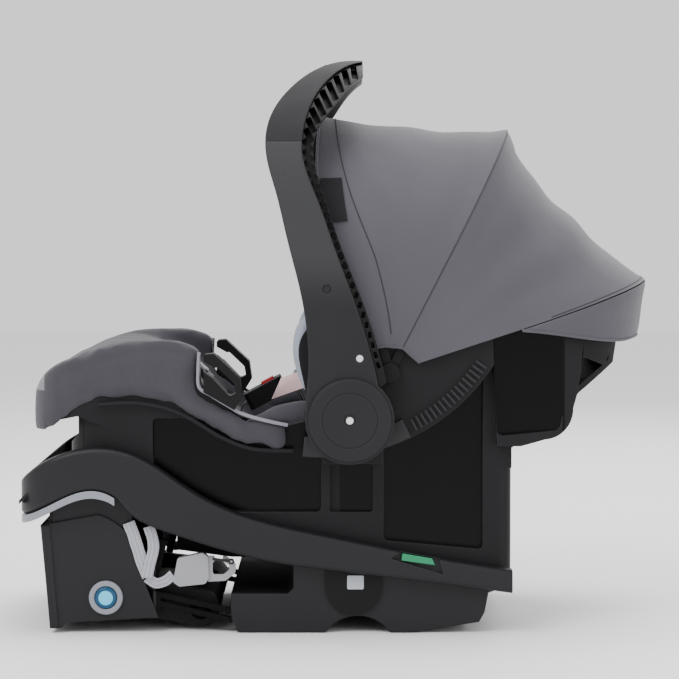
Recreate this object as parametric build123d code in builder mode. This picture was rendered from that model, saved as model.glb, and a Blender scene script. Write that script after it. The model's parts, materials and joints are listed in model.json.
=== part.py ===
"""Infant car seat: a rear-facing carrier with a folding canopy and a carry handle, on its vehicle base.

+X runs from the foot end to the head end, +Y to the occupant's right, +Z up. The origin lies on the
ground under the middle of the seat. Sizes are in millimetres. Side outlines are drawn on Plane.XZ,
whose normal is -Y, so a positive extrusion from Plane.XZ.offset(d) runs outwards on the left side.
"""

import math
import os

from build123d import *

os.makedirs("parts", exist_ok=True)

# ---------------------------------------------------------------- driving dimensions
LENGTH = 696.0  # foot end of the base to the tail of the canopy
FOOT_X = -LENGTH / 2
BASE_REAR_X = 187.0
BASE_HALF_WIDTH = 184.0
RIM_WALL = 20.0
DECK_DROP = 20.0  # the tray's deck lies this far below the top of the rail
DECK_THICKNESS = 4.0
HOUSING_Y = 162.0  # outer face of the base's lower side walls
WALL = 4.0
SKIRT_Y = 158.0  # outer face of the carrier's lower side walls
SIDE_WALL = 14.0
EAR_Y = 176.0  # outer face of the carrier's upper side walls
REST_GAP = 0.6  # carrier to deck
FIT = 0.05  # radial clearance of a pin in its hole
TOUCH = 0.3  # room between soft pieces and their neighbours
GROUND = -20.0  # a level below everything, for cutting prisms
SKY = 500.0

HUB = (11.0, 236.0)  # handle pivot, X and Z
HUB_RADIUS = 47.5
ARM_IN_Y = 192.0
ARM_OUT_Y = 214.0
HANDLE_SPRING_Z = 470.0  # height at which the handle's arch leaves its straight arms
HANDLE_TOP_Z = 629.0

CANOPY = (54.0, 285.0)  # canopy pivot, X and Z
CANOPY_Y = 187.6
CANOPY_CLOTH = 1.5
CANOPY_LEG = 130.0  # straight part of each bow above the pivot
FRONT_BOW_DEG = -14.7  # from vertical, towards the head end
MID_BOW_DEG = 27.0
TAIL_DEG = 72.0
TAIL_LOW_DEG = 81.5

FOOT_PIVOT = (-254.0, 39.0)
FOOT_REACH = 103.0
FOOT_STOWED_DEG = 8.4  # below horizontal
FOOT_ARM_Y = 126.0
FOOT_ROD_RADIUS = 5.0

# Side curves, foot end to head end.
RAIL_TOP = [(FOOT_X, 165), (-296, 198), (-262, 203), (-230, 198), (-200, 184), (-160, 157), (-106, 131),
            (-16, 109), (80, 89), (BASE_REAR_X, 71)]
RAIL_BOTTOM = [(FOOT_X, 127), (-300, 148), (-266, 157), (-243, 149), (-224, 130), (-200, 117), (-153, 101),
               (-85, 82), (5, 69), (95, 58), (BASE_REAR_X, 46)]
PAN = [(-322, 262), (-285, 286), (-240, 296), (-196, 286), (-155, 250), (-112, 198), (-62, 160), (-8, 146),
       (52, 162), (120, 212), (190, 270), (250, 317), (300, 352), (324, 366)]


def lifted(points, rise):
    """The same side curve, moved up."""
    return [(x, z + rise) for x, z in points]


def band(points, low, high):
    """Closed outline between two copies of a side curve, at heights low and high above it."""
    with BuildLine() as outline:
        under = Spline(*lifted(points, low))
        over = Spline(*lifted(points, high))
        Line(under @ 0, over @ 0)
        Line(under @ 1, over @ 1)
    make_face(outline.edges())


def below(points, rise, mode):
    """Everything under a side curve that is moved up by rise."""
    with BuildLine() as outline:
        edge = Spline(*lifted(points, rise))
        Polyline(edge @ 0, ((edge @ 0).X, GROUND), ((edge @ 1).X, GROUND), edge @ 1)
    make_face(outline.edges(), mode=mode)


def plan_rectangle(x_low, x_high, half_width, radius_low, radius_high, mode=Mode.ADD):
    """Plan outline with one corner radius at the foot end and another at the head end."""
    with BuildLine() as outline:
        for side in (1, -1):
            FilletPolyline((x_low, 0), (x_low, side * half_width), (x_high, side * half_width), (x_high, 0),
                           radius=[radius_low, radius_high])
    make_face(outline.edges(), mode=mode)


def polar(centre, radius, degrees):
    """Point at an angle above horizontal from a centre in the side plane."""
    turn = math.radians(degrees)
    return (centre[0] + radius * math.cos(turn), centre[1] + radius * math.sin(turn))


def keep(name, part):
    """Labels a finished piece and writes its STEP file."""
    part.label = name
    export_step(part, f"parts/{name}.step")


# ================================================================ BASE
# Rail pocket for the lock indicator, on both sides of the rim.
POCKET = [(56, 84), (66, 91), (108, 83.5), (112, 67)]
POCKET_DEPTH = 6.0

# Webs under the deck that close the sides of the base above the belt path.
WEB_Y = 134.0
BELT_WEB = [(-178, 88), (-118, 80), (-51, 80), (-51, 95.5), (-106, 109), (-153, 131), (-178, 147)]

with BuildPart() as base_tray:
    with BuildSketch(Plane.XZ):
        with BuildLine():
            rail_over = Spline(*RAIL_TOP)
            rail_under = Spline(*RAIL_BOTTOM)
            Line(rail_over @ 0, rail_under @ 0)
            Line(rail_over @ 1, rail_under @ 1)
        make_face()
    extrude(amount=BASE_HALF_WIDTH, both=True)
    with BuildSketch(Plane.XY):
        plan_rectangle(FOOT_X, BASE_REAR_X + 40, BASE_HALF_WIDTH, 48, 20)
        plan_rectangle(FOOT_X + RIM_WALL, BASE_REAR_X + 60, BASE_HALF_WIDTH - RIM_WALL, 30, 5, Mode.SUBTRACT)
    extrude(amount=SKY, mode=Mode.INTERSECT)
    outer_edges = [e for e in base_tray.edges() if abs(abs(e.center().Y) - BASE_HALF_WIDTH) < 0.01
                   and e.length > 300]
    fillet(outer_edges, radius=5)
    with BuildSketch(Plane.XZ):
        band(RAIL_TOP, -DECK_DROP - DECK_THICKNESS, -DECK_DROP)
    extrude(amount=BASE_HALF_WIDTH - RIM_WALL, both=True)
    with BuildSketch(Plane.XZ.offset(WEB_Y)):
        with BuildLine():
            Polyline(*BELT_WEB, close=True)
        make_face()
    extrude(amount=3)
    with BuildSketch(Plane.XZ.offset(-WEB_Y)):
        with BuildLine():
            Polyline(*BELT_WEB, close=True)
        make_face()
    extrude(amount=-3)
    for side in (-1, 1):
        with BuildSketch(Plane.XZ.offset(-side * (BASE_HALF_WIDTH - POCKET_DEPTH))):
            with BuildLine():
                Polyline(*POCKET, close=True)
            make_face()
        extrude(amount=-side * (POCKET_DEPTH + 1), mode=Mode.SUBTRACT)
keep("base_tray", base_tray.part)

TRIM_DROP = 8.0
TRIM_END_X = -243.0
with BuildPart() as rim_trim:
    with BuildSketch(Plane.XZ):
        band(RAIL_BOTTOM, -TRIM_DROP, 0)
        with BuildLine():
            Polyline((FOOT_X, GROUND), (TRIM_END_X, GROUND), (TRIM_END_X, SKY), (FOOT_X, SKY), close=True)
        make_face(mode=Mode.INTERSECT)
    extrude(amount=BASE_HALF_WIDTH, both=True)
    with BuildSketch(Plane.XY):
        plan_rectangle(FOOT_X, BASE_REAR_X, BASE_HALF_WIDTH, 48, 20)
        plan_rectangle(FOOT_X + 10, BASE_REAR_X + 60, BASE_HALF_WIDTH - 10, 38, 5, Mode.SUBTRACT)
    extrude(amount=SKY, mode=Mode.INTERSECT)
keep("rim_trim", rim_trim.part)

# Lower front housing: outer side plates, inner walls up to the deck, a sloping front wall and button cups.
DECK_UNDER = -DECK_DROP - DECK_THICKNESS
BUTTON_RADIUS = 12.0
CUP_RADIUS = 17.0
CUP_Y = 142.0
CUP_FLOOR = 4.0
with BuildPart() as base_front_housing:
    with BuildSketch(Plane.XZ.offset(HOUSING_Y - WALL)):
        with BuildLine():
            Polyline((-213, 58), (-197, 16.5), (-224, 15.5), (-298, 11), (-302, 5), (-315, 5), (-325, 118),
                     (-262, 129))
            ThreePointArc((-262, 129), (-229, 107), (-213, 58))
        make_face()
    extrude(amount=WALL)
    with BuildSketch(Plane.XZ.offset(HOUSING_Y - 2 * WALL)):
        with BuildLine():
            Polyline((-226, 16), (-300, 16), (-312, 110), (-312, 190), (-226, 190), close=True)
        make_face()
        below(RAIL_TOP, DECK_UNDER, Mode.INTERSECT)
    extrude(amount=WALL)
    with BuildSketch(Plane.XZ.offset(HOUSING_Y)):
        with BuildLine():
            Polyline((-315, 6), (-306, 6), (-315, 118), (-324, 117), close=True)
        make_face()
    extrude(amount=3)
    with Locations(Location((FOOT_PIVOT[0], -HOUSING_Y + WALL, FOOT_PIVOT[1]), (90, 0, 0))):
        Cylinder(CUP_RADIUS, HOUSING_Y - WALL - CUP_Y, align=(Align.CENTER, Align.CENTER, Align.MAX))
    with Locations(Location((FOOT_PIVOT[0], -HOUSING_Y, FOOT_PIVOT[1]), (90, 0, 0))):
        Cylinder(BUTTON_RADIUS + 0.3, HOUSING_Y - CUP_Y - CUP_FLOOR,
                 align=(Align.CENTER, Align.CENTER, Align.MAX), mode=Mode.SUBTRACT)
    with Locations(Location((FOOT_PIVOT[0], -CUP_Y - CUP_FLOOR / 2, FOOT_PIVOT[1]), (90, 0, 0))):
        Cylinder(FOOT_ROD_RADIUS + FIT, CUP_FLOOR + 2, mode=Mode.SUBTRACT)
    mirror(about=Plane.XZ)
    with BuildSketch(Plane.XZ):
        with BuildLine():
            Polyline((-315, 5), (-308, 5), (-317, 111), (-311, 111), (-311, 118), (-325, 118), close=True)
        make_face()
    extrude(amount=HOUSING_Y - WALL, both=True)
    with BuildSketch(Plane.XZ):
        with BuildLine():
            Polyline((-316, 112), (-310, 112), (-310, 190), (-316, 190), close=True)
        make_face()
        below(RAIL_TOP, DECK_UNDER, Mode.INTERSECT)
    extrude(amount=HOUSING_Y - 2 * WALL, both=True)
keep("base_front_housing", base_front_housing.part)

# Lower rear housing: a closed tub with side plates; the belt path stays open in front of it.
REAR_OUTLINE = [(-118, 21), (-113, 4), (-110, 1), (-15, 1)]
ARCH_TOP = (20, 18.8)
REAR_OUTLINE_2 = [(55, 1), (79, 1), (100, 4), (152, 12), (158, 23), (162, 44), (174, 48), (174, 200), (-118, 200)]
BELT_WINDOW = [(-130, 43), (-56, 43), (-50, 49), (-50, 210), (-130, 210)]
HOLLOW = [(-114, 22), (-109.5, 5), (-15, 5)]
HOLLOW_2 = [(55, 5), (79, 5), (99, 8), (148.5, 15.5), (154, 25), (158.5, 47.5), (170, 51.5), (170, 200), (-114, 200)]
HOLLOW_WINDOW = [(-134, 39), (-54.5, 39), (-46, 47.5), (-46, 210), (-134, 210)]


def tub_outline(first, arch_top, second, window, rise):
    """Side outline under the deck with an arch in its bottom edge and without the belt window."""
    with BuildLine() as outline:
        Polyline(*first)
        ThreePointArc(first[-1], arch_top, second[0])
        Polyline(*second, first[0])
    make_face(outline.edges())
    below(RAIL_TOP, rise, Mode.INTERSECT)
    with BuildLine() as opening:
        Polyline(*window, close=True)
    make_face(opening.edges(), mode=Mode.SUBTRACT)


RECESS_LOW, RECESS_HIGH, RECESS_DEPTH = (57.5, 16.0), (129.6, 60.0), 11.0
with BuildPart() as base_rear_housing:
    with BuildSketch(Plane.XZ):
        tub_outline(REAR_OUTLINE, ARCH_TOP, REAR_OUTLINE_2, BELT_WINDOW, DECK_UNDER)
    extrude(amount=HOUSING_Y, both=True)
    with BuildSketch(Plane.XZ):
        tub_outline(HOLLOW, (ARCH_TOP[0], ARCH_TOP[1] + WALL), HOLLOW_2, HOLLOW_WINDOW, DECK_UNDER - WALL)
    extrude(amount=HOUSING_Y - WALL, both=True, mode=Mode.SUBTRACT)
    with BuildSketch(Plane.XZ.offset(HOUSING_Y - RECESS_DEPTH - 3)):
        with BuildLine():
            Polyline((RECESS_LOW[0] - 3, RECESS_LOW[1] - 3), (RECESS_HIGH[0] + 3, RECESS_LOW[1] - 3),
                     (RECESS_HIGH[0] + 3, RECESS_HIGH[1] + 3), (RECESS_LOW[0] - 3, RECESS_HIGH[1] + 3), close=True)
        make_face()
        below(RAIL_TOP, DECK_UNDER, Mode.INTERSECT)
    extrude(amount=RECESS_DEPTH)
    with BuildSketch(Plane.XZ.offset(HOUSING_Y - RECESS_DEPTH)):
        with BuildLine():
            FilletPolyline(RECESS_LOW, (RECESS_HIGH[0], RECESS_LOW[1]), RECESS_HIGH,
                           (RECESS_LOW[0], RECESS_HIGH[1]), radius=5, close=True)
        make_face()
        below(RAIL_TOP, DECK_UNDER - 3, Mode.INTERSECT)
    extrude(amount=RECESS_DEPTH + 1, mode=Mode.SUBTRACT)
    mirror(about=Plane.XZ)
keep("base_rear_housing", base_rear_housing.part)

# Rounded housings of the level windows, one each side.
LOBE_X, LOBE_Z, LOBE_R = 15.5, 51.0, 31.0
WINDOW_X, WINDOW_Z, WINDOW_W, WINDOW_H = 17.3, 56.0, 18.0, 15.0
with BuildPart() as level_housings:
    with BuildSketch(Plane.XZ.offset(HOUSING_Y)):
        with BuildLine():
            Polyline((LOBE_X - LOBE_R, LOBE_Z), (LOBE_X - LOBE_R, 120), (LOBE_X + LOBE_R, 120),
                     (LOBE_X + LOBE_R, LOBE_Z))
            ThreePointArc((LOBE_X + LOBE_R, LOBE_Z), (LOBE_X, LOBE_Z - LOBE_R), (LOBE_X - LOBE_R, LOBE_Z))
        make_face()
        below(RAIL_BOTTOM, -0.5, Mode.INTERSECT)
        with Locations((WINDOW_X, WINDOW_Z)):
            Rectangle(WINDOW_W, WINDOW_H, mode=Mode.SUBTRACT)
    extrude(amount=4)
    mirror(about=Plane.XZ)
keep("level_housings", level_housings.part)

with BuildPart() as level_windows:
    with BuildSketch(Plane.XZ.offset(HOUSING_Y)):
        with Locations((WINDOW_X, WINDOW_Z)):
            RectangleRounded(WINDOW_W, WINDOW_H, 1.5)
    extrude(amount=5.5)
    mirror(about=Plane.XZ)
keep("level_windows", level_windows.part)

with BuildPart() as lock_indicators:
    with BuildSketch(Plane.XZ.offset(BASE_HALF_WIDTH - POCKET_DEPTH)):
        with BuildLine():
            Polyline((67, 82), (68, 89.6), (100, 84), (103, 77), close=True)
        make_face()
    extrude(amount=POCKET_DEPTH - 0.8)
    mirror(about=Plane.XZ)
keep("lock_indicators", lock_indicators.part)

# Sloping bars that close the belt path below, and the strap guide bar in front of it.
with BuildPart() as belt_path_frame:
    with BuildSketch(Plane.XZ.offset(149)):
        for top in (46, 36):
            with BuildLine():
                Polyline((-203, top), (-118, top - 20), (-118, top - 25.5), (-203, top - 6), close=True)
            make_face()
        with BuildLine():
            Polyline((-209, 50), (-201, 46), (-188, 100), (-197, 103), close=True)
        make_face()
        with BuildLine():
            Polyline((-203, 46), (-195, 44), (-195, 20), (-203, 22), close=True)
        make_face()
    extrude(amount=9)
    mirror(about=Plane.XZ)
keep("belt_path_frame", belt_path_frame.part)

with BuildPart() as foot_pivot_rod:
    with Locations(Location((FOOT_PIVOT[0], 0, FOOT_PIVOT[1]), (90, 0, 0))):
        Cylinder(FOOT_ROD_RADIUS, 2 * (CUP_Y + CUP_FLOOR))
keep("foot_pivot_rod", foot_pivot_rod.part)

with BuildPart() as foot_button_bezels:
    with Locations(Location((FOOT_PIVOT[0], -HOUSING_Y, FOOT_PIVOT[1]), (90, 0, 0))):
        Cylinder(18.5, 4.5, align=(Align.CENTER, Align.CENTER, Align.MIN))
        Cylinder(BUTTON_RADIUS + 0.3, 4.5, align=(Align.CENTER, Align.CENTER, Align.MIN), mode=Mode.SUBTRACT)
    fillet(foot_button_bezels.edges().group_by(Axis.Y)[0], radius=1.5)
    mirror(about=Plane.XZ)
keep("foot_button_bezels", foot_button_bezels.part)

# Steel cross bar that the carrier's hooks reach for, on two brackets that stand on the deck.
LATCH_BAR = (118.0, 82.0)
with BuildPart() as latch_bar:
    with Locations(Location((LATCH_BAR[0], 0, LATCH_BAR[1]), (90, 0, 0))):
        Cylinder(5, 150)
keep("latch_bar", latch_bar.part)

with BuildPart() as latch_bar_brackets:
    with BuildSketch(Plane.XZ.offset(60)):
        with BuildLine():
            Polyline((LATCH_BAR[0] - 16, GROUND), (LATCH_BAR[0] + 4.5, GROUND), (LATCH_BAR[0] + 4.5, 92),
                     (LATCH_BAR[0] - 8, 92), close=True)
        make_face()
        below(RAIL_TOP, -DECK_DROP, Mode.SUBTRACT)
        with Locations(LATCH_BAR):
            Circle(5 + FIT, mode=Mode.SUBTRACT)
    extrude(amount=6)
    mirror(about=Plane.XZ)
keep("latch_bar_brackets", latch_bar_brackets.part)

with BuildPart() as rubber_feet:
    with BuildSketch(Plane.XY):
        for x in (-62, 67):
            with Locations((x, 120), (x, -120)):
                RectangleRounded(22, 40, 5)
    extrude(amount=1)
keep("rubber_feet", rubber_feet.part)

# Anchor webbing and connectors, stowed in the belt path on each side.
WEB_Y = 162.2
with BuildPart() as anchor_webbing:
    with BuildSketch(Plane.XZ.offset(WEB_Y)):
        with BuildLine():
            Polyline((-229, 121), (-216, 117), (-207, 78), (-211, 60), (-219, 80), close=True)
        make_face()
    extrude(amount=1.4)
    with BuildSketch(Plane.XZ.offset(WEB_Y + 1.5)):
        with BuildLine():
            Polyline((-215, 117), (-199, 109), (-197, 96), (-207, 62), (-214, 61), (-210, 90), close=True)
        make_face()
    extrude(amount=1.4)
    mirror(about=Plane.XZ)
keep("anchor_webbing", anchor_webbing.part)

CONNECTOR_Y = 152.0
GATE_PIVOT = (-117.5, 78.5)
with BuildPart() as anchor_connectors:
    with BuildSketch(Plane.XZ.offset(CONNECTOR_Y)):
        with BuildLine():
            FilletPolyline((-181, 56), (-174, 51), (-146, 54), (-142, 60), (-143, 84), (-149, 88), (-176, 82),
                           radius=3, close=True)
        make_face()
    extrude(amount=13)
    with BuildSketch(Plane.XZ.offset(CONNECTOR_Y + 3.5)):
        with BuildLine():
            FilletPolyline((-143, 56), (-124, 57), (-113, 66), (-113, 76), (-124, 84), (-143, 84), radius=5)
            Line((-143, 84), (-143, 56))
        make_face()
        with BuildLine():
            FilletPolyline((-138, 64), (-126, 64), (-120, 69), (-120, 74), (-126, 78), (-138, 78), radius=2.5,
                           close=True)
        make_face(mode=Mode.SUBTRACT)
        with BuildLine():
            Polyline((-136, 76), (-127, 76), (-127, 90), (-136, 90), close=True)
        make_face(mode=Mode.SUBTRACT)
    extrude(amount=6)
    with BuildSketch(Plane.XZ.offset(CONNECTOR_Y + 9.5)):
        with Locations(GATE_PIVOT):
            Circle(1.3)
    extrude(amount=3.5)
    mirror(about=Plane.XZ)
keep("anchor_connectors", anchor_connectors.part)

for side, name in ((1, "connector_gate_left"), (-1, "connector_gate_right")):
    with BuildPart() as gate:
        with BuildSketch(Plane.XZ.offset(side * (CONNECTOR_Y + 10.2))):
            with BuildLine():
                Polyline((-138, 80), (-117, 77.2), (-117, 80), (-138, 82.6), close=True)
            make_face()
            with Locations(GATE_PIVOT):
                Circle(3.2)
                Circle(1.3 + FIT, mode=Mode.SUBTRACT)
        extrude(amount=side * 2.4)
    keep(name, gate.part)

# ================================================================ RECLINE FOOT
FOOT_TIP = polar(FOOT_PIVOT, FOOT_REACH, -FOOT_STOWED_DEG)
TIP_RADIUS = 16.5
PAD_RADIUS = 20.0
with BuildPart() as recline_foot:
    with BuildSketch(Plane.XZ.offset(FOOT_ARM_Y)):
        with Locations(FOOT_PIVOT):
            Circle(17)
        with Locations(FOOT_TIP):
            Circle(PAD_RADIUS)
        make_hull()
        with Locations(FOOT_PIVOT):
            Circle(FOOT_ROD_RADIUS + FIT, mode=Mode.SUBTRACT)
    extrude(amount=12)
    mirror(about=Plane.XZ)
    with Locations(Location((FOOT_TIP[0], 0, FOOT_TIP[1]), (90, 0, 0))):
        Cylinder(TIP_RADIUS, 2 * FOOT_ARM_Y)
        Cylinder(TIP_RADIUS - 4, 2 * (FOOT_ARM_Y + 20), mode=Mode.SUBTRACT)
    web_low, web_high = polar(FOOT_PIVOT, 28, -FOOT_STOWED_DEG), polar(FOOT_PIVOT, FOOT_REACH - 15, -FOOT_STOWED_DEG)
    with BuildSketch(Plane.XZ):
        with BuildLine():
            Polyline(web_low, web_high, (web_high[0], web_high[1] + 4), (web_low[0], web_low[1] + 4), close=True)
        make_face()
    extrude(amount=FOOT_ARM_Y, both=True)
keep("recline_foot", recline_foot.part)

with BuildPart() as foot_grips:
    with Locations(Location((FOOT_TIP[0], -80, FOOT_TIP[1]), (90, 0, 0))):
        Cylinder(PAD_RADIUS, 92)
        Cylinder(TIP_RADIUS, 94, mode=Mode.SUBTRACT)
    with BuildSketch(Plane.XZ.offset(30)):
        with BuildLine():
            Polyline((FOOT_PIVOT[0], FOOT_PIVOT[1] - 3), (FOOT_TIP[0], FOOT_TIP[1] - 3), (FOOT_TIP[0], FOOT_TIP[1] + 7),
                     (FOOT_PIVOT[0], FOOT_PIVOT[1] + 9), close=True)
        make_face()
    extrude(amount=100, mode=Mode.SUBTRACT)
    mirror(about=Plane.XZ)
keep("foot_grips", foot_grips.part)

for side, name in ((-1, "foot_button_left"), (1, "foot_button_right")):
    with BuildPart() as foot_button:
        with Locations(Location((FOOT_PIVOT[0], side * (CUP_Y + 8), FOOT_PIVOT[1]), (-side * 90, 0, 0))):
            Cylinder(BUTTON_RADIUS, 17.5, align=(Align.CENTER, Align.CENTER, Align.MIN))
        outer = foot_button.faces().sort_by(Axis.Y)[-1 if side > 0 else 0]
        fillet(outer.edges(), radius=2.5)
    keep(name, foot_button.part)

# ================================================================ CARRIER
# Whole side outline of the shell's walls, from the foot-end lip over the rim to the head end.
RIM = [(-330, 250), (-312, 276), (-283, 293), (-240, 308), (-200, 313), (-168, 310), (-152, 300)]
WING_FRONT = [(-100, 232), (-58, 222), (-38, 240), (-40, 280), (-44, 312), (-30, 336)]
WING_TOP = [(0, 346), (100, 347), (180, 345), (215, 346), (250, 354), (300, 368), (322, 374)]

with BuildPart() as skirt:
    with BuildSketch(Plane.XZ):
        with BuildLine():
            Polyline((-295, 60), (-295, 205), (-285, 217), (-285, 285), (-152, 285), (-150, 262), (-100, 232), (187, 232),
                     (187, 20), (-295, 20), close=True)
        make_face()
        below(RAIL_TOP, REST_GAP - DECK_DROP, Mode.SUBTRACT)
    extrude(amount=SKIRT_Y, both=True)
    with BuildSketch(Plane.XY):
        plan_rectangle(-295, 187, SKIRT_Y, 46, 14)
        plan_rectangle(-289, 182, SKIRT_Y - SIDE_WALL, 36, 6, Mode.SUBTRACT)
    extrude(amount=SKY, mode=Mode.INTERSECT)

with BuildPart() as bucket:
    with BuildSketch(Plane.XZ):
        with BuildLine():
            rim_line = Spline(*RIM)
            Polyline(rim_line @ 1, (-150, 262), WING_FRONT[0])
            wing_front = Spline(*WING_FRONT)
            wing_top = Spline(wing_front @ 1, *WING_TOP)
            Polyline(wing_top @ 1, (304, 322), (290, 290), (266, 300), (259, 262), (250, 232), (223, 212), (187, 205),
                     (187, 180), (-150, 180), (-285, 236), (-330, 226), rim_line @ 0)
        make_face()
    extrude(amount=SKIRT_Y, both=True)
    with BuildSketch(Plane.XY):
        plan_rectangle(-330, 322, SKIRT_Y, 60, 104)
        plan_rectangle(-324, 316, SKIRT_Y - SIDE_WALL, 50, 92, Mode.SUBTRACT)
    extrude(amount=SKY, mode=Mode.INTERSECT)

with BuildPart() as pan:
    with BuildSketch(Plane.XZ):
        band(PAN, -6, 0)
    extrude(amount=SKIRT_Y - SIDE_WALL + 2, both=True)
    with BuildSketch(Plane.XY):
        plan_rectangle(-328, 320, SKIRT_Y - 4, 56, 100)
    extrude(amount=SKY, mode=Mode.INTERSECT)

# Upper side walls: hub bracket, side grip band and head-end wing.
GRIP_CENTRE = (-19.0, 413.0)
GRIP_OUT, GRIP_IN = 221.0, 198.0
GRIP_START_DEG, GRIP_END_DEG = -73.0, -33.0
with BuildPart() as ears:
    with BuildSketch(Plane.XZ):
        grip_start = polar(GRIP_CENTRE, GRIP_OUT, GRIP_START_DEG)
        grip_end = polar(GRIP_CENTRE, GRIP_OUT, GRIP_END_DEG)
        with BuildLine():
            ear_front = Spline(*WING_FRONT[2:])
            ear_top = Spline(ear_front @ 1, *WING_TOP)
            Polyline(ear_top @ 1, (318, 356), (272, 344), (266, 326), (259, 262), (254, 245))
            ThreePointArc((254, 245), (247, 224), (223, 212))
            Polyline((223, 212), (196, 205), (187, 205), (170, 205), grip_end)
            ThreePointArc(grip_end, polar(GRIP_CENTRE, GRIP_OUT, (GRIP_START_DEG + GRIP_END_DEG) / 2), grip_start)
            Polyline(grip_start, (47, 186))
            Polyline((47, 186), (-17, 186), ear_front @ 0)
        make_face()
    extrude(amount=EAR_Y, both=True)
    with BuildSketch(Plane.XY):
        plan_rectangle(-60, 318, EAR_Y, 20, 132)
        plan_rectangle(-70, 330, SKIRT_Y - 6, 20, 104, Mode.SUBTRACT)
    extrude(amount=SKY, mode=Mode.INTERSECT)

# Back wall behind the backrest, which carries the release lever.
LEVER_PIVOT = (206.0, 222.0)
BACK_WALL = [(184, 198), (223, 226), (262, 262), (301, 293), (306, 322), (320, 366)]
with BuildPart() as back_wall:
    with BuildSketch(Plane.XZ):
        with BuildLine():
            Polyline(*BACK_WALL, *[(x - 6, z + 3) for x, z in reversed(BACK_WALL)], close=True)
        make_face()
    extrude(amount=SKIRT_Y - SIDE_WALL + 2, both=True)
    with BuildSketch(Plane.XY):
        plan_rectangle(150, 320, SKIRT_Y - 6, 10, 96)
    extrude(amount=SKY, mode=Mode.INTERSECT)
    with Locations(Location((234, 0, 240), (0, 45, 0))):
        Box(30, 104, 84, mode=Mode.SUBTRACT)
    for side in (1, -1):
        with BuildSketch(Plane.XZ.offset(side * 52)):
            with Locations(LEVER_PIVOT):
                Circle(8)
            with BuildLine():
                Polyline((199, 218), (213, 226), (224, 226), (208, 212), close=True)
            make_face()
            with Locations(LEVER_PIVOT):
                Circle(4, mode=Mode.SUBTRACT)
        extrude(amount=side * 6)
    with Locations(Location((LEVER_PIVOT[0], 0, LEVER_PIVOT[1]), (90, 0, 0))):
        Cylinder(4, 116, mode=Mode.SUBTRACT)

RECESS = 11.0
with BuildPart() as carrier_shell:
    add(skirt.part)
    add(bucket.part)
    add(pan.part)
    add(back_wall.part)
    for side in (1, -1):
        plate = Plane.XZ.offset(side * (SKIRT_Y - RECESS))
        with BuildSketch(plate):
            with BuildLine():
                FilletPolyline((-203, 132), (-20, 132), (-20, 234), (-203, 234), radius=5, close=True)
            make_face()
            below(RAIL_TOP, -8, Mode.SUBTRACT)
            with BuildLine():
                FilletPolyline((48, 101), (155.6, 91), (155.6, 290), (48, 290), radius=5, close=True)
            make_face()
        extrude(amount=side * (RECESS + 1), mode=Mode.SUBTRACT)
        with BuildSketch(Plane.XZ.offset(side * (SKIRT_Y - 8))):
            with BuildLine():
                FilletPolyline((-11, 132), (36, 132), (36, 184), (-11, 184), radius=3, close=True)
            make_face()
        extrude(amount=side * 9, mode=Mode.SUBTRACT)
    add(ears.part)
    for side in (1, -1):
        with BuildSketch(Plane.XZ.offset(side * (EAR_Y - 13))):
            with BuildLine():
                FilletPolyline((170, 216), (238, 222), (247, 262), (252, 326), (258, 352), (164, 352), (166, 300),
                               radius=7, close=True)
            make_face()
        extrude(amount=side * 14, mode=Mode.SUBTRACT)
keep("carrier_shell", carrier_shell.part)

with BuildPart() as side_grips:
    with BuildSketch(Plane.XZ.offset(EAR_Y)):
        with BuildLine():
            arcs = [(GRIP_OUT - 1, GRIP_START_DEG + 9), (GRIP_IN, GRIP_START_DEG + 9)]
            low = [polar(GRIP_CENTRE, r, d) for r, d in arcs]
            high = [polar(GRIP_CENTRE, r, GRIP_END_DEG + 0.5) for r, d in arcs]
            middle = [polar(GRIP_CENTRE, r, (GRIP_START_DEG + GRIP_END_DEG + 9) / 2) for r, d in arcs]
            ThreePointArc(low[0], middle[0], high[0])
            Line(high[0], high[1])
            ThreePointArc(high[1], middle[1], low[1])
            Line(low[1], low[0])
        make_face()
    extrude(amount=6)
    mirror(about=Plane.XZ)
keep("side_grips", side_grips.part)

# Hooks on the rim that guide the vehicle belt when the carrier is used without its base.
with BuildPart() as belt_guides:
    with BuildSketch(Plane.XZ.offset(147)):
        with BuildLine():
            FilletPolyline((-147, 255), (-147, 304), (-136, 305), (-108, 279), (-105, 258), (-116, 240), radius=3,
                           close=True)
        make_face()
        with BuildLine():
            FilletPolyline((-141, 282), (-133, 291), (-114, 273), (-112, 262), (-119, 259), radius=2.5, close=True)
        make_face(mode=Mode.SUBTRACT)
        with BuildLine():
            Polyline((-152, 290), (-152, 299), (-134, 289), (-140, 280), close=True)
        make_face(mode=Mode.SUBTRACT)
        with BuildLine():
            Polyline((-150, 262), (-100, 232), (-100, 220), (-160, 220), (-160, 262), close=True)
        make_face(mode=Mode.SUBTRACT)
    extrude(amount=26)
    with BuildSketch(Plane.XZ.offset(SKIRT_Y)):
        with BuildLine():
            Polyline((-152, 266), (-100, 236), (-100, 220), (-160, 220), (-160, 266), close=True)
        make_face()
    extrude(amount=16, mode=Mode.SUBTRACT)
    mirror(about=Plane.XZ)
keep("belt_guides", belt_guides.part)

# Fixed detent discs between the shell and the handle, and the rivets that the handle turns on.
PIN_RADIUS = 6.0
with BuildPart() as hub_sockets:
    with Locations(Location((HUB[0], -EAR_Y, HUB[1]), (90, 0, 0))):
        Cylinder(38, ARM_IN_Y - EAR_Y - TOUCH, align=(Align.CENTER, Align.CENTER, Align.MIN))
        Cylinder(PIN_RADIUS + FIT, ARM_IN_Y - EAR_Y, align=(Align.CENTER, Align.CENTER, Align.MIN),
                 mode=Mode.SUBTRACT)
    mirror(about=Plane.XZ)
keep("hub_sockets", hub_sockets.part)

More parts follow.
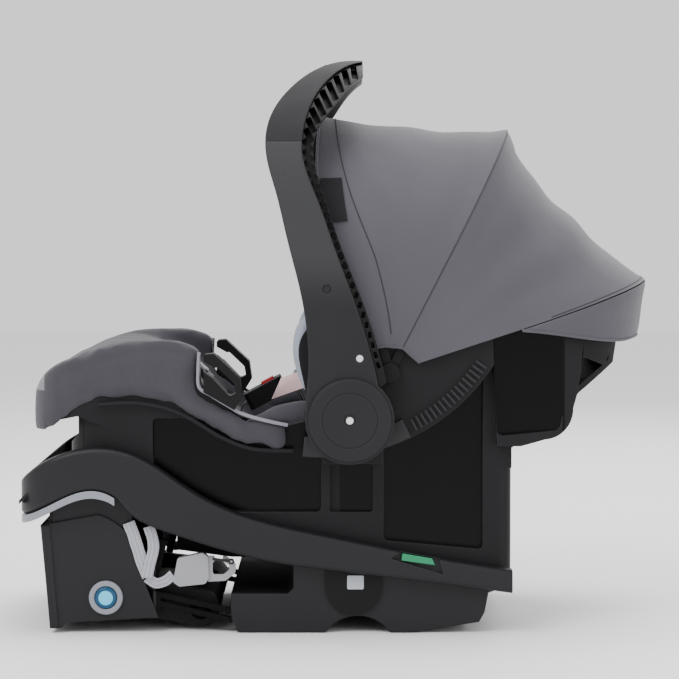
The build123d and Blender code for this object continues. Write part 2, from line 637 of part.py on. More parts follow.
with BuildPart() as handle_rivets:
    with Locations(Location((HUB[0], -EAR_Y, HUB[1]), (90, 0, 0))):
        Cylinder(PIN_RADIUS, ARM_OUT_Y + 5.6 - EAR_Y, align=(Align.CENTER, Align.CENTER, Align.MIN))
    fillet(handle_rivets.edges().group_by(Axis.Y)[0], radius=1.5)
    mirror(about=Plane.XZ)
keep("handle_rivets", handle_rivets.part)

# ---------------------------------------------------------------- soft pieces on the carrier
PAD_LOW, PAD_HIGH = 8.5, 15.0
SEAT_HALF = SKIRT_Y - SIDE_WALL - TOUCH
LINER = 6.0
PAD_TOP = [(-338, 256), (-319, 283), (-283, 301), (-238, 316), (-200, 320), (-166, 317), (-150, 307)]
PAD_HEM = [(-338, 213), (-318, 216), (-304, 225), (-285, 240), (-262, 249), (-224, 251), (-188, 245),
           (-160, 233), (-129, 214), (-94, 201), (-50, 199)]

with BuildPart() as pad_cap:
    with BuildSketch(Plane.XZ):
        with BuildLine():
            pad_top = Spline(*PAD_TOP)
            pad_hem = Spline(*PAD_HEM)
            Line(pad_top @ 0, pad_hem @ 0)
            Polyline(pad_top @ 1, (-150.5, 264.2), (-104, 236.6), (-60, 226), (-50, 226), pad_hem @ 1)
        make_face()
    extrude(amount=SKIRT_Y + 7, both=True)
    with BuildSketch(Plane.XY):
        plan_rectangle(-338, 0, SKIRT_Y + 7, 66, 5)
    extrude(amount=SKY, mode=Mode.INTERSECT)

with BuildPart() as pad_hollow:
    with BuildSketch(Plane.XZ):
        with BuildLine():
            Spline(*[(-331, 251), (-313, 276.6), (-283.4, 293.6), (-240, 308.6), (-200, 313.6), (-168, 310.6),
                     (-151.5, 300.6)])
            Polyline((-151.5, 300.6), (-149.8, 269), (-100, 238), (-58, 228), (-49, 228), (-49, 100), (-331, 100),
                     (-331, 251))
        make_face()
    extrude(amount=SKIRT_Y + TOUCH, both=True)
    with BuildSketch(Plane.XY):
        plan_rectangle(-330.4, 0, SKIRT_Y + TOUCH, 60.4, 5)
    extrude(amount=SKY, mode=Mode.INTERSECT)

with BuildPart() as pad_apron:
    add(pad_cap.part)
    add(pad_hollow.part, mode=Mode.SUBTRACT)
    with BuildSketch(Plane.XY):
        plan_rectangle(-322.2, 20, SEAT_HALF + 0.2, 48, 5)
    extrude(amount=SKY, mode=Mode.SUBTRACT)
keep("pad_apron", pad_apron.part)

with BuildPart() as seat_pad:
    with BuildSketch(Plane.XZ):
        band(PAN, PAD_LOW, PAD_HIGH)
    extrude(amount=SEAT_HALF, both=True)
    for side in (1, -1):
        with BuildSketch(Plane.XZ.offset(side * (SEAT_HALF - LINER))):
            with BuildLine():
                liner_rim = Spline(*PAD_TOP[1:])
                Polyline(liner_rim @ 1, (-150, 266), (-100, 236), (-58, 226), (-34, 242), (-38, 300), (-26, 332),
                         (0, 342), (100, 343), (180, 341), (215, 342), (230, 345), (230, 300), (120, 100),
                         (-150, 100), liner_rim @ 0)
            make_face()
            below(PAN, PAD_LOW + 3, Mode.SUBTRACT)
        extrude(amount=side * LINER)
    with BuildSketch(Plane.XY):
        plan_rectangle(-322, 306, SEAT_HALF, 48, 88)
    extrude(amount=SKY, mode=Mode.INTERSECT)
keep("seat_pad", seat_pad.part)

with BuildPart() as foam_liner:
    with BuildSketch(Plane.XZ):
        band(PAN, 0.5, PAD_LOW - TOUCH)
        with BuildLine():
            Polyline((-40, 0), (296, 0), (296, 400), (-40, 400), close=True)
        make_face(mode=Mode.INTERSECT)
    extrude(amount=SEAT_HALF - 2, both=True)
    with BuildSketch(Plane.XY):
        plan_rectangle(-316, 308, SEAT_HALF - 2, 44, 88)
    extrude(amount=SKY, mode=Mode.INTERSECT)
keep("foam_liner", foam_liner.part)

# Body support: a seat cushion with two side wings.
SUPPORT_HALF = SEAT_HALF - LINER - TOUCH
with BuildPart() as body_support:
    with BuildSketch(Plane.XZ):
        band(PAN, PAD_HIGH + TOUCH, PAD_HIGH + 18)
        with BuildLine():
            Polyline((-60, 0), (190, 0), (190, 400), (-60, 400), close=True)
        make_face(mode=Mode.INTERSECT)
    extrude(amount=SUPPORT_HALF, both=True)
    with BuildSketch(Plane.XZ.offset(SUPPORT_HALF - 22)):
        with BuildLine():
            Spline((-50, 215), (-44, 262), (-51, 306), (-36, 337), (20, 349), (110, 352), (188, 356))
            Polyline((188, 356), (188, 180), (-50, 120), (-50, 215))
        make_face()
        below(PAN, PAD_HIGH + TOUCH, Mode.SUBTRACT)
    extrude(amount=22)
    mirror(about=Plane.XZ)
keep("body_support", body_support.part)

with BuildPart() as head_pillow:
    with BuildSketch(Plane.XZ):
        with BuildLine():
            Polyline((196, 340), (262, 391), (242, 402), (176, 352), close=True)
        make_face()
        below(PAN, PAD_HIGH + 19, Mode.SUBTRACT)
    extrude(amount=92, both=True)
keep("head_pillow", head_pillow.part)

# ---------------------------------------------------------------- harness
STRAP_THICKNESS = 1.6
STRAP_WIDTH = 38.0
BUCKLE = (-84.0, 252.0)
BUCKLE_TILT = -28.0
TONGUE_END = (-49.8, 266.4)
SHOULDER_LINE = [(203, 296), (191, 313), (172, 307), (120, 263), (62, 217), (6, 206), (-28, 222), (-43, 250),
                 TONGUE_END]
LAP_LINE = [(-2, 197), (-20, 205), (-38, 228), (-45, 252), TONGUE_END]
with BuildPart() as shoulder_straps:
    with BuildSketch(Plane.XZ.offset(12)):
        with BuildLine():
            shoulder_path = Spline(*SHOULDER_LINE)
        trace(line_width=STRAP_THICKNESS)
    extrude(amount=STRAP_WIDTH)
    mirror(about=Plane.XZ)
keep("shoulder_straps", shoulder_straps.part)

with BuildPart() as lap_straps:
    with BuildSketch(Plane.XZ.offset(52)):
        with BuildLine():
            Spline(*LAP_LINE)
        trace(line_width=STRAP_THICKNESS)
    extrude(amount=STRAP_WIDTH)
    mirror(about=Plane.XZ)
keep("lap_straps", lap_straps.part)

with BuildPart() as buckle_tongues:
    with Locations((30, 18, 0), (30, -18, 0)):
        Box(14, 20, 3)
    with Locations((37, 48, 0), (37, -48, 0)):
        Box(3, 84, 6)
tongue_part = buckle_tongues.part.rotate(Axis.Y, BUCKLE_TILT).translate((BUCKLE[0], 0, BUCKLE[1]))
keep("buckle_tongues", tongue_part)

with BuildPart() as buckle_body:
    Box(46, 58, 20)
    fillet(buckle_body.edges().filter_by(Axis.Z), radius=6)
    with Locations((8, 0, 8)):
        Box(20, 30, 4 + FIT, mode=Mode.SUBTRACT)
    with Locations((8, 0, 3)):
        Box(16, 26, 8, mode=Mode.SUBTRACT)
buckle_part = buckle_body.part.rotate(Axis.Y, BUCKLE_TILT).translate((BUCKLE[0], 0, BUCKLE[1]))
keep("buckle_body", buckle_part)

with BuildPart() as buckle_button:
    with Locations((8, 0, 9.5)):
        Box(15, 25, 7)
    fillet(buckle_button.edges().filter_by(Axis.Z), radius=2)
button_part = buckle_button.part.rotate(Axis.Y, BUCKLE_TILT).translate((BUCKLE[0], 0, BUCKLE[1]))
keep("buckle_button", button_part)

with BuildPart() as crotch_strap:
    with BuildSketch(Plane.XZ):
        with BuildLine():
            Polyline((-113, 215), (-112.4, 229), (-109.6, 238.3), (-104.4, 241.05))
        trace(line_width=STRAP_THICKNESS)
    extrude(amount=STRAP_WIDTH / 2, both=True)
keep("crotch_strap", crotch_strap.part)

CLIP_AT = 0.34
CLIP = shoulder_path @ CLIP_AT
CLIP_TILT = math.degrees(math.atan2((shoulder_path % CLIP_AT).Y, -(shoulder_path % CLIP_AT).X))
for side, name in ((1, "chest_clip_left"), (-1, "chest_clip_right")):
    with BuildPart() as clip_half:
        with Locations((0, -side * 30.5, 0)):
            Box(34, 60, 9)
        fillet(clip_half.edges().filter_by(Axis.Z), radius=7)
        with Locations((0, -side * 31, 0)):
            Box(36, STRAP_WIDTH + 2, 3.4, mode=Mode.SUBTRACT)
    clip_part = clip_half.part.rotate(Axis.Y, CLIP_TILT).translate((CLIP.X, 0, CLIP.Y))
    keep(name, clip_part)

with BuildPart() as care_tag:
    Box(34, 1.2, 28)
    fillet(care_tag.edges().filter_by(Axis.Y), radius=2)
tag_part = care_tag.part.rotate(Axis.Y, -27).translate((-54, -114.8, 268))
keep("care_tag", tag_part)

# Harness adjuster: a housing in the foot-end slope with its push button.
ADJUSTER = (-174.0, 268.0)
ADJUSTER_TILT = 42.0
adjuster_place = Location((ADJUSTER[0], 0, ADJUSTER[1]), (0, ADJUSTER_TILT, 0))
with BuildPart() as adjuster_housing:
    with Locations((0, 0, 17.6)):
        Box(44, 52, 7)
    fillet(adjuster_housing.edges().filter_by(Axis.Z), radius=8)
    with Locations((0, 0, 15.8)):
        Box(24.6, 30.6, 8, align=(Align.CENTER, Align.CENTER, Align.MIN), mode=Mode.SUBTRACT)
keep("adjuster_housing", adjuster_housing.part.moved(adjuster_place))

with BuildPart() as adjuster_button:
    with Locations((0, 0, 19.2)):
        Box(24, 30, 4, align=(Align.CENTER, Align.CENTER, Align.MIN))
    fillet(adjuster_button.edges().filter_by(Axis.Z), radius=4)
keep("adjuster_button", adjuster_button.part.moved(adjuster_place))

# ---------------------------------------------------------------- carrier release
HOOK_PIVOT = (146.0, 134.0)
with BuildPart() as latch_pivot_rod:
    with Locations(Location((HOOK_PIVOT[0], 0, HOOK_PIVOT[1]), (90, 0, 0))):
        Cylinder(5, 2 * (SKIRT_Y - SIDE_WALL))
keep("latch_pivot_rod", latch_pivot_rod.part)

with BuildPart() as latch_hooks:
    with BuildSketch(Plane.XZ.offset(32)):
        with Locations(HOOK_PIVOT):
            Circle(11)
        with BuildLine():
            FilletPolyline((HOOK_PIVOT[0] - 9, HOOK_PIVOT[1]), (130, 92), (125.5, 78), (125.5, 70), (140, 70),
                           (HOOK_PIVOT[0] + 9, HOOK_PIVOT[1]), radius=2, close=True)
        make_face()
        with Locations(HOOK_PIVOT):
            Circle(5 + FIT, mode=Mode.SUBTRACT)
    extrude(amount=12)
    mirror(about=Plane.XZ)
    with BuildSketch(Plane.XZ):
        with Locations((HOOK_PIVOT[0] - 1, HOOK_PIVOT[1] - 26)):
            Rectangle(8, 8)
    extrude(amount=32, both=True)
keep("latch_hooks", latch_hooks.part)

with BuildPart() as lever_rod:
    with Locations(Location((LEVER_PIVOT[0], 0, LEVER_PIVOT[1]), (90, 0, 0))):
        Cylinder(4, 116)
keep("lever_rod", lever_rod.part)

with BuildPart() as release_lever:
    with BuildSketch(Plane.XZ):
        with Locations(LEVER_PIVOT):
            Circle(8)
        with BuildLine():
            FilletPolyline((LEVER_PIVOT[0] - 3, LEVER_PIVOT[1] + 6), (LEVER_PIVOT[0] + 5, LEVER_PIVOT[1] - 6),
                           (252, 252), (260, 264), (252, 268), radius=2, close=True)
        make_face()
        with Locations(LEVER_PIVOT):
            Circle(4 + FIT, mode=Mode.SUBTRACT)
    extrude(amount=48, both=True)
keep("release_lever", release_lever.part)

# ================================================================ HANDLE
HANDLE_FRONT = [(-36, 262), (-34, 322), (-43, 379), (-56, 430), (-68, 480), (-77, 512), (-79, 540), (-72, 566),
                (-54, 592), (-28, 614), (0, 626), (26, 629)]
HANDLE_MID = [(42, 270), (28, 326), (12, 374), (-7, 425), (-22, 468), (-34, 498), (-40, 524), (-38, 550),
              (-28, 580), (-9, 606), (10, 620), (26, 625)]
HANDLE_REAR = [(50, 276), (37, 326), (20, 374), (0, 425), (-14, 468), (-24, 498), (-28, 524), (-23, 547),
               (-8, 569), (7, 590), (26, 607)]
HOOK_X = 26.0
RIB_POCKET = 11.0


def arch(half_width, height, wall, mode=Mode.ADD):
    """Front outline of an arch: straight arms, then half an ellipse, wall thick; drawn on Plane.YZ."""
    spring = HANDLE_SPRING_Z
    for inset, how in ((0, mode), (wall, Mode.SUBTRACT)):
        with Locations((0, spring)):
            Ellipse(half_width - inset, height - inset, mode=how)
        with Locations((0, spring - 200)):
            Rectangle(2 * (half_width - inset), 400, mode=how)


with BuildPart() as handle_frame:
    with BuildSketch(Plane.YZ):
        arch(ARM_OUT_Y, HANDLE_TOP_Z - HANDLE_SPRING_Z, ARM_OUT_Y - ARM_IN_Y)
    extrude(amount=200, both=True)
    with BuildSketch(Plane.XZ):
        with BuildLine():
            front = Spline(*HANDLE_FRONT)
            middle = Spline(*HANDLE_MID)
            Line(front @ 1, middle @ 1)
            Polyline(front @ 0, (-36, 236), (40, 236), middle @ 0)
        make_face()
        with Locations(HUB):
            Circle(HUB_RADIUS)
    extrude(amount=ARM_OUT_Y + 10, both=True, mode=Mode.INTERSECT)
    with Locations(Location((HUB[0], 0, HUB[1]), (90, 0, 0))):
        Cylinder(PIN_RADIUS + FIT, 2 * ARM_OUT_Y + 10, mode=Mode.SUBTRACT)
    for side in (1, -1):
        with Locations(Location((-5, side * (ARM_IN_Y + 4), 346), (90, 0, 0))):
            Cylinder(9.3, 10, mode=Mode.SUBTRACT)
        for x, z in ((-13.5, 376), (21.5, 302)):
            with Locations(Location((x, side * (ARM_OUT_Y - 2), z), (90, 0, 0))):
                Cylinder(4.6, 6, mode=Mode.SUBTRACT)
keep("handle_frame", handle_frame.part)

with BuildPart() as handle_ribs:
    with BuildSketch(Plane.YZ):
        arch(ARM_OUT_Y - 2.5, HANDLE_TOP_Z - HANDLE_SPRING_Z - 2.5, ARM_OUT_Y - ARM_IN_Y - 5)
    extrude(amount=200, both=True)
    with BuildSketch(Plane.XZ):
        with BuildLine():
            mid_line = Spline(*HANDLE_MID)
            rear_line = Spline(*HANDLE_REAR)
            Line(mid_line @ 0, rear_line @ 0)
            Line(mid_line @ 1, rear_line @ 1)
        make_face()
        with Locations(HUB):
            Circle(HUB_RADIUS, mode=Mode.SUBTRACT)
    extrude(amount=ARM_OUT_Y + 10, both=True, mode=Mode.INTERSECT)
RIB_PITCH = 10.5
rib_count = int(rear_line.length // RIB_PITCH)
with BuildPart() as rib_pockets:
    for k in range(2, rib_count):
        share = k / rib_count
        outer_spot, inner_spot = rear_line @ share, mid_line @ share
        gap = (outer_spot - inner_spot).length
        if gap < 8:
            continue
        centre = (outer_spot + inner_spot) / 2
        lean = -math.degrees(math.atan2((outer_spot - inner_spot).Y, (outer_spot - inner_spot).X))
        with Locations(Location((centre.X, 0, centre.Y), (0, lean, 0))):
            Box(gap - 5, 2 * ARM_OUT_Y, 6.8)
    with BuildSketch(Plane.YZ):
        with Locations((0, HANDLE_SPRING_Z)):
            Ellipse(ARM_OUT_Y - RIB_POCKET, HANDLE_TOP_Z - HANDLE_SPRING_Z - RIB_POCKET)
        with Locations((0, HANDLE_SPRING_Z - 200)):
            Rectangle(2 * (ARM_OUT_Y - RIB_POCKET), 400)
    extrude(amount=200, both=True, mode=Mode.SUBTRACT)
with BuildPart() as pocketed_ribs:
    add(handle_ribs.part)
    add(rib_pockets.part, mode=Mode.SUBTRACT)
keep("handle_ribs", pocketed_ribs.part)

GRIP_SHARES = [0.848 + 0.057 * k / 8 for k in range(9)]
with BuildPart() as handle_grip:
    with BuildSketch(Plane.XZ):
        with BuildLine():
            along = Spline(*HANDLE_FRONT, mode=Mode.PRIVATE)
            skin = []
            for raise_by in (0.02, 1.2):
                row = []
                for share in GRIP_SHARES:
                    spot, run = along @ share, along % share
                    row.append((spot.X - run.Y * raise_by, spot.Y + run.X * raise_by))
                skin.append(row)
            under, over = Spline(*skin[0]), Spline(*skin[1])
            Line(under @ 0, over @ 0)
            Line(under @ 1, over @ 1)
        make_face()
    extrude(amount=52, both=True)
keep("handle_grip", handle_grip.part)

with BuildPart() as hub_caps:
    with Locations(Location((HUB[0], -ARM_OUT_Y, HUB[1]), (90, 0, 0))):
        Cylinder(45, 4.5, align=(Align.CENTER, Align.CENTER, Align.MIN))
        Cylinder(PIN_RADIUS + FIT, 6, align=(Align.CENTER, Align.CENTER, Align.MIN), mode=Mode.SUBTRACT)
    fillet(hub_caps.edges().group_by(Axis.Y)[0].sort_by(SortBy.LENGTH)[-1], radius=3)
    with BuildSketch(Plane.XZ.offset(ARM_OUT_Y + 3.9)):
        with Locations(HUB):
            Circle(30)
            Circle(28.8, mode=Mode.SUBTRACT)
    extrude(amount=1, mode=Mode.SUBTRACT)
    mirror(about=Plane.XZ)
keep("hub_caps", hub_caps.part)

with BuildPart() as handle_screws:
    for x, z in ((-13.5, 376), (21.5, 302)):
        with Locations(Location((x, -ARM_OUT_Y + 5, z), (90, 0, 0))):
            Cylinder(4.4, 3.6, align=(Align.CENTER, Align.CENTER, Align.MIN))
    mirror(about=Plane.XZ)
keep("handle_screws", handle_screws.part)

for side, name in ((-1, "handle_button_left"), (1, "handle_button_right")):
    with BuildPart() as handle_button:
        with Locations(Location((-5, side * (ARM_IN_Y - 2.5), 346), (-side * 90, 0, 0))):
            Cylinder(9, 7.5, align=(Align.CENTER, Align.CENTER, Align.MIN))
        inner = handle_button.faces().sort_by(Axis.Y)[0 if side > 0 else -1]
        fillet(inner.edges(), radius=1.5)
    keep(name, handle_button.part)

# ================================================================ CANOPY
FRONT_REACH, MID_REACH, TAIL_REACH, TAIL_LOW_REACH = 290.0, 295.0, 309.0, 286.0


def bow_plane(degrees):
    """Plane through the canopy pivot: local x runs along Y, local y leans from vertical to the head end."""
    lean = math.radians(degrees)
    return Plane(origin=(CANOPY[0], 0, CANOPY[1]), x_dir=(0, 1, 0), z_dir=(math.cos(lean), 0, -math.sin(lean)))


def bow_arch(half_width, reach, leg, wall, start):
    """Arch in a bow plane from radius start outwards: straight legs to radius leg, then half an ellipse."""
    with BuildLine() as outline:
        for inset in (0, wall):
            wide, high = half_width - inset, reach - inset
            Line((wide, start), (wide, leg))
            EllipticalCenterArc((0, leg), wide, high - leg, start_angle=0, arc_size=180)
            Line((-wide, leg), (-wide, start))
        for end in (1, -1):
            Line((end * half_width, start), (end * (half_width - wall), start))
    make_face(outline.edges())


MOUNT_Y = EAR_Y
BOLT_RADIUS = 5.0
BOWS = {"canopy_mid_bow": (MID_BOW_DEG, MID_REACH - 5.5, 179.8), "canopy_front_bow": (FRONT_BOW_DEG, FRONT_REACH - 5.5, 183.0)}
for name, (lean, reach, eye_y) in BOWS.items():
    with BuildPart() as bow:
        with BuildSketch(bow_plane(lean)):
            bow_arch(eye_y + 2.8, reach, CANOPY_LEG, 2.8, 0)
        extrude(amount=4.5, both=True)
        for side in (1, -1):
            with Locations(Location((CANOPY[0], side * (eye_y + 1.4), CANOPY[1]), (90, 0, 0))):
                Cylinder(9, 2.8)
                Cylinder(BOLT_RADIUS + FIT, 4, mode=Mode.SUBTRACT)
    keep(name, bow.part)

with BuildPart() as canopy_mounts:
    with Locations(Location((CANOPY[0], -MOUNT_Y, CANOPY[1]), (90, 0, 0))):
        Cylinder(13, 3.5, align=(Align.CENTER, Align.CENTER, Align.MIN))
        Cylinder(BOLT_RADIUS, 11, align=(Align.CENTER, Align.CENTER, Align.MIN))
    with Locations(Location((CANOPY[0], -MOUNT_Y - 10.2, CANOPY[1]), (90, 0, 0))):
        Cylinder(11, 3, align=(Align.CENTER, Align.CENTER, Align.MIN))
    fillet(canopy_mounts.edges().group_by(Axis.Y)[0], radius=1)
    mirror(about=Plane.XZ)
keep("canopy_mounts", canopy_mounts.part)

# Cloth of the canopy: two fans between the bows and the hanging tail behind the head end.
SHEETS = {
    "canopy_front_panel": ((FRONT_BOW_DEG, FRONT_REACH, CANOPY_LEG, 34), (MID_BOW_DEG, MID_REACH, CANOPY_LEG, 34)),
    "canopy_rear_panel": ((MID_BOW_DEG + 1.5, MID_REACH, CANOPY_LEG, 34), (TAIL_DEG - 1, TAIL_REACH, 150, 34)),
    "canopy_tail": ((TAIL_DEG, TAIL_REACH, 150, 150), (TAIL_LOW_DEG, TAIL_LOW_REACH, 150, 150)),
}
for name, stations in SHEETS.items():
    with BuildPart() as sheet:
        for lean, reach, leg, start in stations:
            with BuildSketch(bow_plane(lean)):
                bow_arch(CANOPY_Y, reach, leg + 0.5, CANOPY_CLOTH, start)
        loft(ruled=True)
    keep(name, sheet.part)
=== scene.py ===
"""Infant car seat: fabric, straps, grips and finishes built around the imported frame.

Every piece is in metres in the frame's own axes: +X towards the head end, +Y towards the occupant's
right, +Z up. Sub-assemblies are classes; a finish is a frozen dataclass that makes its own material.
"""

from __future__ import annotations

import json
import logging
import math
from dataclasses import dataclass, field
from enum import Enum
from typing import Callable, Iterable, Sequence

import bpy
from mathutils import Matrix, Vector, noise

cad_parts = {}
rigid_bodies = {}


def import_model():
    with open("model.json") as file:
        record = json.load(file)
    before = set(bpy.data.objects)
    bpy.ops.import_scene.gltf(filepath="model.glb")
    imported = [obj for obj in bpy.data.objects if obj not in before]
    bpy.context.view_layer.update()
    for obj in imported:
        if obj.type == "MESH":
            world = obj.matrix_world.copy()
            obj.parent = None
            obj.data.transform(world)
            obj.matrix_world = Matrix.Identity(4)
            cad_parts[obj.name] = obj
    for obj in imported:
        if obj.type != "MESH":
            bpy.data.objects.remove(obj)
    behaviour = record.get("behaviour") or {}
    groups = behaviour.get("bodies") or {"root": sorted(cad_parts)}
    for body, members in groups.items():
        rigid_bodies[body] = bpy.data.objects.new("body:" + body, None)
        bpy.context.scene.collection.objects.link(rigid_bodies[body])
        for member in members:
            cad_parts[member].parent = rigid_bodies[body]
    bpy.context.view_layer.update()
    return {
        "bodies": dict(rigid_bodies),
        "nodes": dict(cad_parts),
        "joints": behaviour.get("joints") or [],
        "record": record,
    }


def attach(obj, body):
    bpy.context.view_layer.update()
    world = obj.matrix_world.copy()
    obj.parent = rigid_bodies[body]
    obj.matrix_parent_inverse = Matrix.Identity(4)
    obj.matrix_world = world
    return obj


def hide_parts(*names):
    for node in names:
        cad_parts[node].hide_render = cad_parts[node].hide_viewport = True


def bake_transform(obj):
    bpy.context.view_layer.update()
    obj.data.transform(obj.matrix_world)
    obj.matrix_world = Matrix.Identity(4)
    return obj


LOG = logging.getLogger("infant_seat")
Point = tuple[float, float, float]
Flat = tuple[float, float]
Colour = tuple[float, float, float]

WELD = 0.00001
SHARP_EDGE = 0.0002
CRISP_EDGE = 0.0005
# near-black painted on recess floors and on the surfaces inside the base's front opening: painted shade
RECESS_SHADE_BLACK: Colour = (0.0008, 0.0008, 0.001)
POLISH = -0.5
# how much lighter than the plastic the painted edge highlight and wear, and the handle's hatched zone, are
LIGHTENING_GAIN = 1.9


# ---------------------------------------------------------------- finishes
class Surface(Enum):
    """How a finish is built up."""

    PLASTIC = "plastic"
    CLOTH = "cloth"
    WEBBING = "webbing"


class NodeSheet:
    """A material's node tree with short ways to add and join nodes."""

    def __init__(self, name: str) -> None:
        """Makes an empty node material.

        Args:
            name: the material's name.
        """
        self.material = bpy.data.materials.new(name)
        self.material.use_nodes = True
        self.tree = self.material.node_tree
        self.shader = self.tree.nodes["Principled BSDF"]
        self.coords = self.add("ShaderNodeTexCoord")

    def add(self, kind: str, **settings: object) -> bpy.types.Node:
        """Adds a node and sets its properties.

        Args:
            kind: the node's type name.
            settings: properties of the node.

        Returns:
            The new node.
        """
        node = self.tree.nodes.new(kind)
        for key, value in settings.items():
            setattr(node, key, value)
        return node

    def join(self, output: bpy.types.NodeSocket, target: bpy.types.NodeSocket) -> None:
        """Links an output to an input."""
        self.tree.links.new(output, target)

    def noise(self, scale: float, detail: float = 2.0, source: str = "Object") -> bpy.types.NodeSocket:
        """A noise value on the piece's own coordinates.

        Args:
            scale: waves per metre.
            detail: octaves.
            source: the coordinate output that it reads.

        Returns:
            The noise's value output.
        """
        node = self.add("ShaderNodeTexNoise")
        node.inputs["Scale"].default_value = scale
        node.inputs["Detail"].default_value = detail
        self.join(self.coords.outputs[source], node.inputs["Vector"])
        return node.outputs["Fac"]

    def math(self, operation: str, first: object, second: object = 0.5,
             third: object = None) -> bpy.types.NodeSocket:
        """A math node on sockets or numbers.

        Args:
            operation: the operation's name.
            first: first socket or number.
            second: second socket or number.
            third: third socket or number, where the operation has one.

        Returns:
            The node's value output.
        """
        node = self.add("ShaderNodeMath", operation=operation)
        for place, value in enumerate((first, second, third)):
            if isinstance(value, bpy.types.NodeSocket):
                self.join(value, node.inputs[place])
            elif value is not None:
                node.inputs[place].default_value = float(value)
        return node.outputs[0]

    def mix(self, share: object, low: object, high: object) -> bpy.types.NodeSocket:
        """A colour between two colours.

        Args:
            share: socket or number from 0 to 1.
            low: colour or socket at 0.
            high: colour or socket at 1.

        Returns:
            The mixed colour output.
        """
        node = self.add("ShaderNodeMix", data_type="RGBA")
        for place, value in ((0, share), (6, low), (7, high)):
            if isinstance(value, bpy.types.NodeSocket):
                self.join(value, node.inputs[place])
            elif place == 0:
                node.inputs[0].default_value = float(value)
            else:
                node.inputs[place].default_value = (*value, 1.0)
        return node.outputs[2]

    def axis(self, letter: str, source: str = "Object") -> bpy.types.NodeSocket:
        """One coordinate of the piece, X, Y or Z."""
        split = self.add("ShaderNodeSeparateXYZ")
        self.join(self.coords.outputs[source], split.inputs[0])
        return split.outputs[letter]

    def radial(self, x: float, z: float) -> bpy.types.NodeSocket:
        """Distance from a point in the side plane.

        Args:
            x: the point's X in metres.
            z: its Z.

        Returns:
            The distance output.
        """
        dx = self.math("SUBTRACT", self.axis("X"), x)
        dz = self.math("SUBTRACT", self.axis("Z"), z)
        square = self.math("ADD", self.math("MULTIPLY", dx, dx), self.math("MULTIPLY", dz, dz))
        return self.math("SQRT", square, 0.0)

    def band(self, value: bpy.types.NodeSocket, low: float, high: float, soft: float) -> bpy.types.NodeSocket:
        """1 between two levels of a value and 0 outside them, with soft edges.

        Args:
            value: the value tested.
            low: lower level.
            high: upper level.
            soft: width of each edge.

        Returns:
            The mask output.
        """
        rise = self.add("ShaderNodeMapRange", interpolation_type="SMOOTHSTEP")
        fall = self.add("ShaderNodeMapRange", interpolation_type="SMOOTHSTEP")
        for node, edge in ((rise, low), (fall, high)):
            self.join(value, node.inputs["Value"])
            node.inputs["From Min"].default_value = edge - soft / 2
            node.inputs["From Max"].default_value = edge + soft / 2
        fall.inputs["To Min"].default_value = 1.0
        fall.inputs["To Max"].default_value = 0.0
        return self.math("MULTIPLY", rise.outputs[0], fall.outputs[0])

    def around(self, value: bpy.types.NodeSocket, middle: float, half: float, soft: float) -> bpy.types.NodeSocket:
        """1 within half a width of a level and 0 away from it."""
        return self.band(value, middle - half, middle + half, soft)

    def bump(self, height: bpy.types.NodeSocket, strength: float, distance: float,
             base: bpy.types.NodeSocket | None = None) -> bpy.types.NodeSocket:
        """Bump from a height value.

        Args:
            height: the height value.
            strength: how much of the bump shows.
            distance: the relief's depth in metres.
            base: a normal that it is added to.

        Returns:
            The normal output.
        """
        node = self.add("ShaderNodeBump")
        node.inputs["Strength"].default_value = strength
        node.inputs["Distance"].default_value = distance
        self.join(height, node.inputs["Height"])
        if base is not None:
            self.join(base, node.inputs["Normal"])
        return node.outputs[0]

    def repaint(self, mask: bpy.types.NodeSocket, colour: Colour, roughness_change: float = 0.0) -> None:
        """Lays another colour over the shader's own where a mask is 1.

        Args:
            mask: where the colour goes.
            colour: the colour.
            roughness_change: share added to the roughness there.
        """
        plain = self.shader.inputs["Base Color"].links[0].from_socket
        self.join(self.mix(mask, plain, colour), self.shader.inputs["Base Color"])
        if roughness_change:
            rough = self.shader.inputs["Roughness"].links[0].from_socket
            change = self.math("MULTIPLY_ADD", mask, roughness_change, 1.0)
            self.join(self.math("MULTIPLY", rough, change), self.shader.inputs["Roughness"])

    def set(self, **values: object) -> None:
        """Sets the shader's own sockets; underscores in a name stand for spaces."""
        for key, value in values.items():
            self.shader.inputs[key.replace("_", " ")].default_value = value


@dataclass(frozen=True)
class ClothLook:
    """The numbers that tell one weave's look from another's.

    Attributes:
        slub_scale: waves per metre of the uneven yarn.
        weave_share: share of the tone that is weave; the rest is uneven yarn.
        cloud_scale: waves per metre of the mottling.
        cloud_detail: octaves of the mottling.
        shade_share: how far the tone changes the colour.
        shade_low: the tone's darkest grey.
        shade_high: the tone's lightest grey.
        crease_scale: waves per metre of the creases.
        crease_detail: octaves of the creases.
        crease_strength: how much of the creases shows.
        crease_depth: their depth in metres.
        yarn_strength: how much of the yarns' relief shows.
        sheen_roughness: the shader's sheen roughness.
        gloss: the shader's specular level.
    """

    slub_scale: float
    weave_share: float
    cloud_scale: float
    cloud_detail: float
    shade_share: float
    shade_low: float
    shade_high: float
    crease_scale: float
    crease_detail: float
    crease_strength: float
    crease_depth: float
    yarn_strength: float
    sheen_roughness: float
    gloss: float


PAD_WEAVE = ClothLook(900.0, 0.35, 9.0, 4.0, 0.45, 0.55, 1.25, 55.0, 3.0, 0.35, 0.0012, 0.6, 0.5, 0.2)
HOOD_WEAVE = ClothLook(1100.0, 0.4, 7.0, 3.0, 0.4, 0.6, 1.2, 28.0, 2.0, 0.4, 0.0018, 0.5, 0.45, 0.25)


